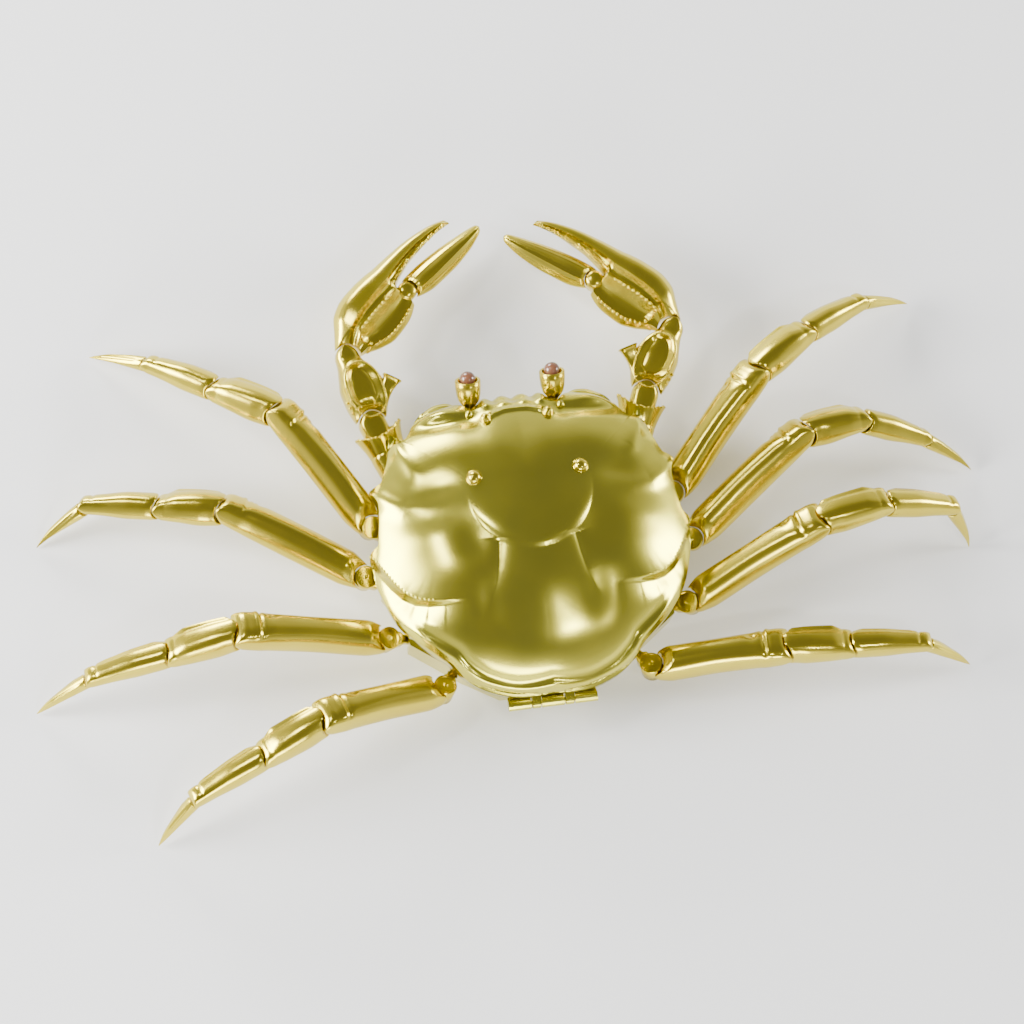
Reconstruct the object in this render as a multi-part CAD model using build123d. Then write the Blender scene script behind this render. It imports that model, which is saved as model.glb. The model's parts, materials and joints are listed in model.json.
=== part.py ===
from build123d import *
import os
from math import cos, pi, radians, sin, sqrt

# An articulated ornament crab in cast and polished metal, lying on its belly.
# +Y is the crab's front, +X its right side, +Z up. The belly rests on Z = 0.
# All lengths are millimetres and all angles degrees.

# Fits between pieces that move on each other
side_gap = 0.2
end_gap = 0.2
pin_gap = 0.16
seat_gap = 0.1
overrun = 1.0

# Carapace lid
carapace_half_width = 31.7
carapace_half_length = 30.25
rim_height = 12.0
lid_edge = 1.5
crown_height = 24.8
lid_wall = 1.2
dome_fullness = 0.58
lobe_forward = 9.3
lobe_step = 1.2
side_wall_drop = 2.6

# Edge of the right half of the carapace, from the front middle round to the rear
# middle, as shares of its half width and half length
carapace_edge_shares = (
    (0.0, 0.97), (0.07, 1.0), (0.12, 0.97), (0.17, 1.0), (0.21, 0.95), (0.27, 0.9),
    (0.33, 0.96), (0.42, 0.99), (0.5, 0.97), (0.57, 0.93), (0.67, 0.81), (0.7, 0.75),
    (0.78, 0.78), (0.81, 0.68), (0.85, 0.57), (0.88, 0.46), (0.95, 0.42), (0.93, 0.3),
    (0.94, 0.13), (1.0, 0.03), (0.99, -0.1), (0.95, -0.27), (0.89, -0.43), (0.78, -0.58),
    (0.61, -0.74), (0.53, -0.85), (0.41, -0.94), (0.28, -0.99), (0.0, -1.01),
)

# Raised regions of the right half of the carapace: middle as shares of its half width
# and half length, radius as a share of its half width, rise as a share of the wall
lobe_shares = (
    (0.0, 0.3, 0.4, 0.9),
    (0.0, -0.32, 0.3, 0.8),
    (0.54, -0.22, 0.34, 1.0),
    (0.48, 0.58, 0.26, 0.8),
    (0.0, -0.76, 0.26, 0.6),
)

# Rings of the carapace from its edge to the middle of its stomach lobe, as shares of the
# way out, and how much of the toothed edge each ring keeps
outer_ring_shares = (
    (1.0, 1.0), (0.95, 0.8), (0.88, 0.55), (0.79, 0.3), (0.68, 0.1), (0.57, 0.0), (0.47, 0.0),
)
hollow_ring_shares = (
    (1.0, 1.0), (0.88, 0.6), (0.7, 0.2), (0.45, 0.0), (0.2, 0.0),
)

# Middle and reach along Y of the steep side wall below the ridge behind the third tooth
side_wall_shares = (-0.2, 0.3)

# The stomach lobe's own rings, from the foot of its rear step inward
lobe_foot_share = 0.375
lobe_ring_shares = (0.345, 0.22, 0.1)

# Edge of the right half of the hollow under the carapace, inside the valleys of its teeth
hollow_edge_shares = (
    (0.0, 0.97), (0.2, 0.94), (0.48, 0.95), (0.62, 0.82), (0.68, 0.73), (0.78, 0.62),
    (0.86, 0.44), (0.92, 0.25), (0.92, 0.0), (0.85, -0.24), (0.8, -0.46), (0.6, -0.72),
    (0.4, -0.93), (0.27, -0.99), (0.0, -1.0),
)

# Studs on the carapace
large_stud_radius = 1.4
large_stud_place_shares = (0.328, 0.387)
small_stud_radius = 0.95
small_stud_place_shares = (0.196, 0.8)
stud_sink = 0.4
stud_profile_shares = ((0.0, 1.0), (0.4, 1.0), (0.75, 0.8), (0.95, 0.4))

# Eyes
eye_spread = 8.4
eye_set_back = 1.35
eye_seat_height = 14.6
eye_lean_angle = 38.0
eye_stem_radius = 0.9
eye_stem_length = 3.4
eye_cup_length = 5.2
eye_cup_foot_radius = 1.1
eye_cup_mouth_radius = 2.5
eye_cup_bore_radius = 1.8
eye_cup_bore_depth = 1.6
eye_bead_radius = 1.5
bead_profile_angles = (-75, -45, -15, 15, 45, 75)

# Base tub
tub_foot_share = 0.84
tub_foot_height = 3.0
tub_front_set_in = 3.85
tub_rear_set_in = 1.65
tub_front_half_width = 11.5
tub_waist_half_width = 14.0
tub_waist_forward = 19.0
tub_rear_half_width = 9.5
tub_floor = 2.0
root_wall_half_length = 2.3
root_wall_ahead = 1.5
pocket_half_width = 22.0
pocket_half_length = 22.5
pocket_edge_shares = (
    (0.0, 0.93), (0.45, 0.89), (0.5, 0.42), (0.62, 0.2), (0.96, 0.1), (1.0, -0.2),
    (0.9, -0.56), (0.6, -0.82), (0.42, -0.96), (0.0, -1.0),
)

# Abdomen flap, set into the belly
flap_half_width = 9.0
flap_rear_half_width = 6.5
flap_tip_half_width = 1.5
flap_length = 26.0
flap_rear = 21.0
flap_thickness = 0.9

# Rear hinge of the lid
hinge_wide = 4.4
hinge_narrow = 1.75
hinge_barrel_radius = 1.1
hinge_pin_radius = 0.4
hinge_behind = 1.05
hinge_height = 10.9

# Sides of the small rounds
round_sides = 14
ear_sides = 10
pin_sides = 6

# Joints of the limbs: ear radius, slot and pin
slot_width = 2.2
limb_pin_radius = 0.5
pin_hold = 0.6
root_tongue_radius = 1.5
knuckle_length = 6.0
knuckle_neck_half_height = 1.2
knuckle_web = 0.5
knuckle_web_half_width = 1.5
tongue_set_back = 0.35
tongue_neck_share = 0.7

leg_swing_ear = 2.25
leg_knee_ear = 2.7
leg_shin_ear = 2.35
leg_toe_ear = 1.75
claw_swing_ear = 2.5
claw_elbow_ear = 2.8
claw_wrist_ear = 2.6
claw_finger_ear = 1.9
knuckle_half_height = 1.9

# Half width and half height of each leg piece at its widest
thigh_half_width = 3.7
thigh_half_height = 3.1
knee_half_width = 3.5
knee_half_height = 2.8
shin_half_width = 2.8
shin_half_height = 2.3
toe_half_width = 1.7
toe_half_height = 1.5

# Legs of one side, front to rear: root place, heading of the root, roll of the folding
# axes about the leg, and the lengths of thigh, knee piece, shin and toe
leg_roots = (
    (25.6, 4.6, 5.7),
    (27.6, -4.6, 5.6),
    (24.6, -14.9, 5.5),
    (17.4, -21.8, 5.4),
)
leg_heading_angles = (36.0, 29.0, 2.0, -53.0)
leg_roll_angles = (38.0, 54.0, 21.0, 5.0)
leg_lengths = (
    (28.0, 13.9, 15.7, 14.4),
    (29.4, 12.8, 15.4, 14.2),
    (29.1, 13.9, 17.1, 15.8),
    (24.7, 13.2, 16.3, 15.2),
)

# Resting pose of each leg: lift, swing, knee, shin and toe angles
left_leg_angles = (
    (14.5, 21.0, 36.5, 1.0, 15.0),
    (8.5, 3.5, 26.0, 1.0, 41.0),
    (20.0, 4.0, 35.5, 1.0, 26.0),
    (27.5, 40.0, 34.0, 1.0, 34.0),
)
right_leg_angles = (
    (13.5, 12.0, 22.5, 13.0, 27.5),
    (14.5, 7.0, 33.0, 28.5, 16.5),
    (25.5, 19.0, 26.5, 26.0, 46.5),
    (17.5, 51.5, 13.0, 1.0, 40.0),
)

# Claws
claw_root = (17.0, 8.5, 4.6)
claw_heading_angle = 49.0
claw_arm_length = 17.1
claw_wrist_length = 14.2
claw_palm_reach = 18.3
claw_finger_offset = 2.8
claw_finger_length = 20.6
claw_tip_reach = 35.0
claw_tip_offset = 2.5
claw_tip_share = 0.04
arm_half_width = 3.8
arm_half_height = 3.0
arm_flange = 1.2
arm_flange_share = 1.25
wrist_half_width = 4.6
wrist_half_height = 3.8
wrist_panel_half_length = 4.2
wrist_panel_half_width = 2.9
wrist_panel_depth = 1.2
wrist_panel_place_shares = (0.53, 0.12)
palm_half_width = 6.0
palm_half_height = 4.0
palm_panel_half_length = 5.2
palm_panel_half_width = 1.5
palm_panel_depth = 0.6
palm_panel_lean_angle = 38.7
palm_panel_place_shares = (0.65, 0.66, 0.71)
finger_half_width = 2.2
finger_half_height = 1.9
horn_length = 5.2
horn_foot = 1.9
horn_mouth = 3.2
horn_place_shares = (0.26, 0.62)
horn_direction_shares = (0.72, 0.69, 0.0)
left_claw_angles = (8.5, 18.5, 8.0, 53.0, 15.5)
right_claw_angles = (8.5, 17.5, -6.5, 70.0, 16.5)

# Cross-section of a limb: eight corners, as shares of the half width and half height
section_shares = (
    (1.0, 0.42), (0.52, 1.0), (-0.52, 1.0), (-1.0, 0.42),
    (-1.0, -0.42), (-0.52, -1.0), (0.52, -1.0), (1.0, -0.42),
)

# Stations along each limb piece: place as a share of the length, offset toward the outer
# side of the bend as a share of the half width, and size as a share of the largest section
thigh_station_shares = (
    (0.0, 0.0, 0.7), (0.2, 0.08, 0.97), (0.84, 0.0, 0.97), (1.0, 0.0, 0.78), (1.2, 0.0, 0.72),
)
knee_station_shares = (
    (0.0, 0.04, 0.72), (0.35, 0.1, 1.0), (0.75, 0.05, 0.94), (1.3, 0.0, 0.6),
)
shin_station_shares = (
    (0.0, 0.04, 0.78), (0.3, 0.08, 1.0), (0.75, 0.02, 0.84), (1.2, 0.0, 0.56),
)
toe_station_shares = (
    (0.0, 0.0, 0.8), (0.3, 0.15, 0.92), (0.7, 0.25, 0.58), (1.0, 0.0, 0.1),
)
arm_station_shares = (
    (0.0, 0.0, 0.76), (0.3, 0.0, 0.95), (0.62, 0.0, 1.0),
)
wrist_station_shares = (
    (0.0, 0.0, 0.6), (0.4, 0.05, 1.0), (0.72, -0.05, 0.88), (0.95, -0.02, 0.54), (1.3, 0.0, 0.54),
)
palm_station_shares = (
    (0.0, -0.1, 0.42), (0.22, -0.2, 0.62), (0.45, -0.1, 0.94), (0.72, -0.1, 1.0),
    (1.0, -0.12, 0.94), (1.2, -0.44, 0.44), (1.5, -0.27, 0.38), (1.75, 0.06, 0.24),
)
finger_station_shares = (
    (0.0, 0.0, 0.92), (0.25, 0.12, 0.98), (0.65, 0.25, 0.68), (1.0, 0.0, 0.1),
)

# Places along Y that follow the carapace
tub_front = carapace_half_length - tub_front_set_in
tub_rear = carapace_half_length - tub_rear_set_in
hinge_rear = carapace_half_length + hinge_behind
eye_seat_forward = carapace_half_length - eye_set_back

up = Vector(0, 0, 1)


def turned(vector, axis, angle):
    """The vector turned about an axis through the origin."""
    return vector.rotate(Axis((0, 0, 0), axis), angle)


def polygon(points):
    """A flat face through points in order."""
    return Face(Wire.make_polygon(points, close=True))


def mirrored_points(shares, half_width, half_length, height):
    """Both halves of an outline given as shares for its right half."""
    right = [Vector(x * half_width, y * half_length, height) for x, y in shares]
    left = [Vector(-p.X, p.Y, p.Z) for p in reversed(right) if p.X > 0]
    return right + left


def prism(points, height):
    """The outline through the points, raised by the height."""
    return extrude(polygon(points), height, dir=(0, 0, 1))


def ringed_solid(rings, split=False):
    """A solid through rings of points, with flat ends; split halves each side face."""
    faces = [polygon(rings[0]), polygon(rings[-1])]
    for near, far in zip(rings, rings[1:]):
        for i in range(len(near)):
            corners = [near[i - 1], near[i], far[i], far[i - 1]]
            if split:
                faces += [polygon(corners[:3]), polygon([corners[0]] + corners[2:])]
            else:
                faces.append(polygon(corners))
    return Solid(Shell(faces))


def section(x, y, half_width, half_height):
    """The corners of one cross-section of a limb, square to X."""
    return [Vector(x, y + a * half_width, b * half_height) for a, b in section_shares]


def limb_body(stations, half_width, half_height):
    """A limb piece through its stations: place, offset and size of each section."""
    return ringed_solid([section(x, y, w * half_width, w * half_height) for x, y, w in stations])


def stations_from(shares, length, half_width):
    return [(x * length, y * half_width, size) for x, y, size in shares]


def disc(radius, height, sides=ear_sides):
    """A flat-sided round whose corners lie on the radius, about Z at the origin."""
    return Pos(0, 0, -height / 2) * extrude(RegularPolygon(radius, sides), height)


def bore(radius, height, sides=ear_sides):
    """The space cut for a disc: its flats lie on the radius."""
    return Pos(0, 0, -height / 2) * extrude(RegularPolygon(radius, sides, major_radius=False), height)


def round_solid(profile, sides=round_sides):
    """A flat-sided turned form through places of height and radius along Z."""
    rings = []
    for height, radius in profile:
        turns = [2 * pi * i / sides for i in range(sides)]
        rings.append([Vector(radius * cos(t), radius * sin(t), height) for t in turns])
    return ringed_solid(rings)


def panel_cut(half_length, half_width, depth):
    """The space cut for a sunk panel with cut corners, from its surface at the origin."""
    corners = [Vector(a * half_length, b * half_width, -depth) for a, b in section_shares]
    return prism(corners, half_length)


def limb_pin():
    return disc(limb_pin_radius, slot_width + 2 * pin_hold, pin_sides)


def slab(x0, x1, y0, y1, height):
    """A box between two places along X and two along Y, centred on Z = 0."""
    middle = Pos((x0 + x1) / 2, (y0 + y1) / 2, 0)
    return middle * Box(x1 - x0, y1 - y0, height)


def tongue(ear_radius, neck_half_width, reach):
    """The plate that turns in a slot, with its pin hole, about Z at the origin."""
    thickness = slot_width - 2 * side_gap
    radius = ear_radius - tongue_set_back
    plate = disc(radius, thickness) + slab(0, reach, -neck_half_width, neck_half_width, thickness)
    return plate - bore(limb_pin_radius + pin_gap, thickness + overrun, pin_sides)


def with_tongue(body, ear_radius, half_height, tilt=0.0):
    """Cuts a limb piece to clear the ears that carry it and gives it its tongue."""
    tall = 4 * half_height
    clear = bore(ear_radius + end_gap, tall) + slab(-tall, 0, -tall, tall, tall)
    reach = ear_radius + end_gap + overrun
    neck = (ear_radius - tongue_set_back) * tongue_neck_share
    return body - Rot(tilt, 0, 0) * clear + Rot(tilt, 0, 0) * tongue(ear_radius, neck, reach)


def with_ears(body, x, ear_radius, half_height, y=0.0):
    """Rounds the far end of a limb piece about its next joint and slots it for a tongue."""
    tall = 4 * half_height
    beyond = slab(0, tall, -tall, tall, tall) - disc(ear_radius, tall + overrun)
    slot_back = ear_radius - tongue_set_back + end_gap
    slot = slab(-slot_back, tall, -tall, tall, slot_width)
    place = Pos(x, y, 0)
    return body - place * beyond - place * slot + place * limb_pin()


def make_knuckle(ear_radius):
    """Root knuckle: lifts about Y in the tub, carries the limb's swing about Z."""
    height = 2 * knuckle_half_height
    web = knuckle_length - ear_radius - knuckle_web
    root = tongue(root_tongue_radius + tongue_set_back, knuckle_neck_half_height, web + knuckle_web)
    far = Pos(knuckle_length, 0, 0)
    block = far * disc(ear_radius, height)
    block += slab(web, knuckle_length, -knuckle_web_half_width, knuckle_web_half_width, height)
    slot_back = ear_radius - tongue_set_back + end_gap
    wide = 2 * ear_radius
    slot = slab(knuckle_length - slot_back, 2 * knuckle_length, -wide, wide, slot_width)
    return Rot(90, 0, 0) * root + (block - slot) + far * limb_pin()


def make_thigh(lengths, tilt):
    """Upper leg: swings on its knuckle, rounded at the root, squared at the knee."""
    length = lengths[0]
    stations = stations_from(thigh_station_shares, length, thigh_half_width)
    body = limb_body(stations, thigh_half_width, thigh_half_height)
    body = with_tongue(body, leg_swing_ear, thigh_half_height, tilt)
    return with_ears(body, length, leg_knee_ear, thigh_half_height)


def make_knee(lengths):
    length = lengths[1]
    stations = stations_from(knee_station_shares, length, knee_half_width)
    body = limb_body(stations, knee_half_width, knee_half_height)
    body = with_tongue(body, leg_knee_ear, knee_half_height)
    return with_ears(body, length, leg_shin_ear, knee_half_height)


def make_shin(lengths):
    length = lengths[2]
    stations = stations_from(shin_station_shares, length, shin_half_width)
    body = limb_body(stations, shin_half_width, shin_half_height)
    body = with_tongue(body, leg_shin_ear, shin_half_height)
    return with_ears(body, length, leg_toe_ear, shin_half_height)


def make_toe(lengths):
    length = lengths[3]
    stations = stations_from(toe_station_shares, length, toe_half_width)
    body = limb_body(stations, toe_half_width, toe_half_height)
    return with_tongue(body, leg_toe_ear, toe_half_height)


def make_claw_arm():
    """Upper arm of the claw, with a flange round its far end."""
    stations = stations_from(arm_station_shares, claw_arm_length, arm_half_width)
    flange_back = claw_arm_length - claw_elbow_ear - end_gap
    end_share = (claw_elbow_ear + end_gap) / arm_half_width
    stations += [
        (flange_back - arm_flange, 0, arm_flange_share),
        (flange_back - arm_flange / 2, 0, arm_flange_share),
        (flange_back, 0, end_share),
        (claw_arm_length + claw_elbow_ear + overrun, 0, end_share),
    ]
    body = limb_body(stations, arm_half_width, arm_half_height)
    body = with_tongue(body, claw_swing_ear, arm_half_height)
    return with_ears(body, claw_arm_length, claw_elbow_ear, arm_half_height)


def make_claw_wrist():
    """Wrist block of the claw, with a flared horn on its inner side."""
    stations = stations_from(wrist_station_shares, claw_wrist_length, wrist_half_width)
    body = limb_body(stations, wrist_half_width, wrist_half_height)
    along, across = horn_place_shares
    place = (claw_wrist_length * along, wrist_half_width * across, 0)
    foot = Plane(place, x_dir=(0, 0, 1), z_dir=horn_direction_shares)
    mouth = foot.offset(horn_length)
    horn = loft([foot * Rectangle(horn_foot, horn_foot), mouth * Rectangle(horn_mouth, horn_mouth)], ruled=True)
    along, across = wrist_panel_place_shares
    panel = panel_cut(wrist_panel_half_length, wrist_panel_half_width, wrist_panel_depth)
    body -= Pos(claw_wrist_length * along, wrist_half_width * across, wrist_half_height) * panel
    body = with_tongue(body + horn, claw_elbow_ear, wrist_half_height)
    return with_ears(body, claw_wrist_length, claw_wrist_ear, wrist_half_height)


def make_claw_palm():
    """Palm with its fixed finger; the moving finger hangs on its inner far corner."""
    stations = stations_from(palm_station_shares, claw_palm_reach, palm_half_width)
    stations.append((claw_tip_reach, claw_tip_offset, claw_tip_share))
    body = limb_body(stations, palm_half_width, palm_half_height)
    along, across, high = palm_panel_place_shares
    panel = panel_cut(palm_panel_half_length, palm_panel_half_width, palm_panel_depth)
    place = Pos(claw_palm_reach * along, palm_half_width * across, palm_half_height * high)
    body -= place * Rot(-palm_panel_lean_angle, 0, 0) * panel
    body = with_tongue(body, claw_wrist_ear, palm_half_height)
    x, y = claw_palm_reach, claw_finger_offset
    tall = 4 * palm_half_height
    inner = y - claw_finger_ear - end_gap
    beyond = slab(x, x + tall, inner, tall, tall) - Pos(x, y, 0) * disc(claw_finger_ear, tall + overrun)
    slot_back = claw_finger_ear - tongue_set_back + end_gap
    slot = slab(x - slot_back, x + tall, inner, tall, slot_width)
    fixed_finger = limb_body(stations[5:], palm_half_width, palm_half_height)
    return body - beyond - slot + fixed_finger + Pos(x, y, 0) * limb_pin()


def make_claw_finger():
    stations = stations_from(finger_station_shares, claw_finger_length, finger_half_width)
    body = limb_body(stations, finger_half_width, finger_half_height)
    return with_tongue(body, claw_finger_ear, finger_half_height)


# Limb chains: a frame for each piece, and the axis of each joint.
# Each frame has X along the piece and Z along its folding axis.


def mirror_frame(frame):
    """The same frame on the left side of the body."""
    o, x, z = frame
    return (Vector(-o.X, o.Y, o.Z), Vector(-x.X, x.Y, x.Z), Vector(z.X, -z.Y, -z.Z))


def mirror_axis(axis):
    """A joint axis on the left side, so that the same angle moves the limb the same way."""
    return Vector(axis.X, -axis.Y, -axis.Z)


def root_frames(root, heading, lift, swing):
    """The knuckle's frame, then the next piece's place, direction and swing axis."""
    place = Vector(*root)
    x = turned(Vector(1, 0, 0), up, heading)
    level = up.cross(x)
    x = turned(x, level, -lift)
    axis = turned(up, level, -lift)
    swing_place = place + x * knuckle_length
    return place, level * -1, x, axis, swing_place, turned(x, axis, swing)


def leg_chain(index, pose):
    """Frames of the five pieces and places and axes of the five joints of a right leg."""
    lift, swing, knee, shin, toe = pose
    lengths = leg_lengths[index]
    place, lift_axis, x0, axis, swing_place, x = root_frames(
        leg_roots[index], leg_heading_angles[index], lift, swing)
    forward = axis.cross(x)
    roll = radians(leg_roll_angles[index])
    fold = forward * cos(roll) - axis * sin(roll)
    frames = [(place, x0, axis), (swing_place, x, fold * -1)]
    joints = [(place, lift_axis), (swing_place, axis)]
    at = swing_place
    for length, angle in zip(lengths, (knee, shin, toe)):
        at = at + x * length
        x = turned(x, fold, angle)
        frames.append((at, x, fold * -1))
        joints.append((at, fold))
    return frames, joints


def claw_chain(pose):
    """Frames and joints of the right claw; its pieces all turn about one direction."""
    lift, swing, elbow, wrist, finger = pose
    place, lift_axis, x0, axis, at, x = root_frames(claw_root, claw_heading_angle, lift, swing)
    frames = [(place, x0, axis), (at, x, axis)]
    joints = [(place, lift_axis), (at, axis)]
    for length, angle in ((claw_arm_length, elbow), (claw_wrist_length, wrist)):
        at = at + x * length
        x = turned(x, axis, angle)
        frames.append((at, x, axis))
        joints.append((at, axis))
    inward = axis.cross(x)
    at = at + x * claw_palm_reach + inward * claw_finger_offset
    frames.append((at, turned(x, axis, finger), axis))
    joints.append((at, axis))
    return frames, joints


def placed(solid, frame):
    o, x, z = frame
    return Plane(o, x_dir=x, z_dir=z).location * solid


# Base tub


def root_wall(root, heading):
    """The two ends of the short wall that a limb's root stands on."""
    along = Vector(cos(radians(heading)), sin(radians(heading)), 0)
    side = up.cross(along)
    middle = Vector(root[0], root[1], 0) + along * root_wall_ahead
    return [middle + side * root_wall_half_length, middle - side * root_wall_half_length]


def tub_outline(height, share=1):
    """The tub's outline at a height, drawn in by a share."""
    roots = [(claw_root, claw_heading_angle)] + list(zip(leg_roots, leg_heading_angles))
    right = [
        Vector(0, tub_front, 0),
        Vector(tub_front_half_width, tub_front, 0),
        Vector(tub_waist_half_width, tub_waist_forward, 0),
    ]
    for root, heading in roots:
        right += root_wall(root, heading)
    right += [Vector(tub_rear_half_width, -tub_rear, 0), Vector(0, -tub_rear, 0)]
    left = [Vector(-p.X, p.Y, 0) for p in reversed(right) if p.X > 0]
    return [Vector(p.X * share, p.Y * share, height) for p in right + left]


def root_slot(root, heading):
    """The upright slot that a knuckle lifts in, and the level pin across it."""
    back = root_tongue_radius + end_gap
    high = root_tongue_radius + knuckle_neck_half_height
    slot = slab(-back, 2 * knuckle_length, -slot_width / 2, slot_width / 2, 2 * high)
    pin = Rot(90, 0, 0) * limb_pin()
    place = Pos(*root) * Rot(0, 0, heading)
    return place * slot, place * pin


def hinge_spans():
    """Ends along X of the five knuckles of the rear hinge, left to right."""
    widths = (hinge_wide, hinge_narrow, hinge_wide, hinge_narrow, hinge_wide)
    at = -(sum(widths) + side_gap * (len(widths) - 1)) / 2
    spans = []
    for width in widths:
        spans.append((at, at + width))
        at += width + side_gap
    return spans


def hinge_round(solid, middle=0.0):
    """A round of the hinge, laid along its axis."""
    return Pos(middle, -hinge_rear, hinge_height) * Rot(0, 90, 0) * solid


def hinge_barrel(span):
    return hinge_round(disc(hinge_barrel_radius, span[1] - span[0], round_sides), (span[0] + span[1]) / 2)


def hinge_bore():
    return hinge_round(bore(hinge_pin_radius + pin_gap, 2 * carapace_half_width, ear_sides))


def box_between(low, high):
    middle = [(a + b) / 2 for a, b in zip(low, high)]
    return Pos(*middle) * Box(*[b - a for a, b in zip(low, high)])


def flap_outline(margin):
    """The abdomen flap's outline, grown by a margin."""
    front = flap_length - flap_rear
    return [
        Vector(-flap_rear_half_width - margin, -flap_rear - margin, 0),
        Vector(flap_rear_half_width + margin, -flap_rear - margin, 0),
        Vector(flap_half_width + margin, -flap_rear + flap_length / 4, 0),
        Vector(flap_tip_half_width + margin, front + margin, 0),
        Vector(-flap_tip_half_width - margin, front + margin, 0),
        Vector(-flap_half_width - margin, -flap_rear + flap_length / 4, 0),
    ]


def make_tub():
    top = rim_height - seat_gap * 2
    tub = ringed_solid([tub_outline(0, tub_foot_share), tub_outline(tub_foot_height), tub_outline(top)])
    pocket = mirrored_points(pocket_edge_shares, pocket_half_width, pocket_half_length, tub_floor)
    tub -= prism(pocket, rim_height)
    tub -= prism(flap_outline(seat_gap), flap_thickness)
    pins = []
    for root, heading in [(claw_root, claw_heading_angle)] + list(zip(leg_roots, leg_heading_angles)):
        slot, pin = root_slot(root, heading)
        tub -= slot + mirror(slot, about=Plane.YZ)
        pins += [pin, mirror(pin, about=Plane.YZ)]
    for span in hinge_spans()[::2]:
        low = (span[0], -hinge_rear, hinge_height - hinge_barrel_radius)
        high = (span[1], -tub_rear + seat_gap, hinge_height)
        tub += box_between(low, high) + hinge_barrel(span)
    for pin in pins:
        tub += pin
    return tub - hinge_bore()


def make_hinge_pin():
    spans = hinge_spans()
    return hinge_round(disc(hinge_pin_radius, spans[-1][1] - spans[0][0]))


def make_flap():
    return prism(flap_outline(0), flap_thickness)


# Carapace lid


def dome_height(x, y, half_width, half_length, crown, relief):
    """Height of the carapace over a place in plan; relief is the rise of its lobes."""
    out = min(1.0, sqrt((x / half_width) ** 2 + (y / half_length) ** 2))
    edge = rim_height + lid_edge
    height = edge + (crown - edge) * (1 - out ** 2) ** dome_fullness
    for x_share, y_share, radius_share, rise_share in lobe_shares:
        across = (abs(x) - x_share * carapace_half_width) / (radius_share * carapace_half_width)
        along = (y - y_share * carapace_half_length) / (radius_share * carapace_half_width)
        height += relief * rise_share * max(0.0, 1 - across ** 2 - along ** 2) ** 2
    return height


def dome_ring(edge, out, toothed, half_width, half_length, crown, relief):
    """One ring of points on the carapace; inner rings lie about the stomach lobe's middle."""
    forward = lobe_forward * min(1, (1 - out) / (1 - lobe_foot_share))
    ring = []
    for p in edge:
        plain = sqrt((p.X / half_width) ** 2 + (p.Y / half_length) ** 2)
        scale = out * (toothed + (1 - toothed) / plain)
        x, y = p.X * scale, p.Y * scale + forward
        ring.append(Vector(x, y, dome_height(x, y, half_width, half_length, crown, relief)))
    return ring


def lobe_rise(y):
    """Rise of the stomach lobe, from nothing at its middle to its rear step."""
    behind = (lobe_forward - y) / (lobe_foot_share * carapace_half_length)
    return lobe_step * sqrt(max(0, behind))


def side_drop(y):
    """Drop of the steep side wall, fading before and behind it."""
    middle, reach = side_wall_shares
    away = (y / carapace_half_length - middle) / reach
    return side_wall_drop * max(0, 1 - away ** 2)


def at_height(ring, height):
    return [Vector(p.X, p.Y, height) for p in ring]


def dome_outer():
    """The carapace's outer form, with its side walls and the step behind its stomach lobe."""
    sizes = (carapace_half_width, carapace_half_length, crown_height, lid_wall)
    edge = mirrored_points(carapace_edge_shares, carapace_half_width, carapace_half_length, 0)
    rings = [dome_ring(edge, out, toothed, *sizes) for out, toothed in outer_ring_shares]
    rings[1] = [Vector(p.X, p.Y, p.Z - side_drop(p.Y)) for p in rings[1]]
    rings.append(dome_ring(edge, lobe_foot_share, 0, *sizes))
    for out in lobe_ring_shares:
        ring = dome_ring(edge, out, 0, *sizes)
        rings.append([Vector(p.X, p.Y, p.Z + lobe_rise(p.Y)) for p in ring])
    rings[-1] = at_height(rings[-1], dome_height(0, lobe_forward, *sizes))
    return ringed_solid([at_height(rings[0], rim_height)] + rings, split=True)


def dome_hollow():
    """The room under the carapace, a wall's thickness inside it."""
    half_width, half_length = carapace_half_width - lid_wall, carapace_half_length - lid_wall
    crown = crown_height - lid_wall
    edge = mirrored_points(hollow_edge_shares, half_width, half_length, 0)
    rings = [dome_ring(edge, out, toothed, half_width, half_length, crown, 0)
             for out, toothed in hollow_ring_shares]
    rings[-1] = at_height(rings[-1], dome_height(0, 0, half_width, half_length, crown, 0))
    return ringed_solid([at_height(rings[0], rim_height - overrun)] + rings, split=True)


def outer_height(x, y):
    return dome_height(x, y, carapace_half_width, carapace_half_length, crown_height, lid_wall)


def stud_places():
    """Radius and sunk seat of each stud, square to the carapace under it."""
    kinds = ((large_stud_radius, large_stud_place_shares), (small_stud_radius, small_stud_place_shares))
    for radius, (x_share, y_share) in kinds:
        for side in (1, -1):
            x, y = side * x_share * carapace_half_width, y_share * carapace_half_length
            across = outer_height(x + radius, y) - outer_height(x - radius, y)
            along = outer_height(x, y + radius) - outer_height(x, y - radius)
            square = Vector(-across, -along, 2 * radius).normalized()
            yield radius, Plane(Vector(x, y, outer_height(x, y)) - square * stud_sink, z_dir=square)


def make_studs():
    studs = []
    for radius, seat in stud_places():
        profile = [(high * radius, wide * radius) for high, wide in stud_profile_shares]
        studs.append(seat.location * round_solid(profile))
    return studs


def eye_plane(side):
    lean = radians(eye_lean_angle)
    return Plane((side * eye_spread, eye_seat_forward, eye_seat_height), z_dir=(0, cos(lean), sin(lean)))


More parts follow.
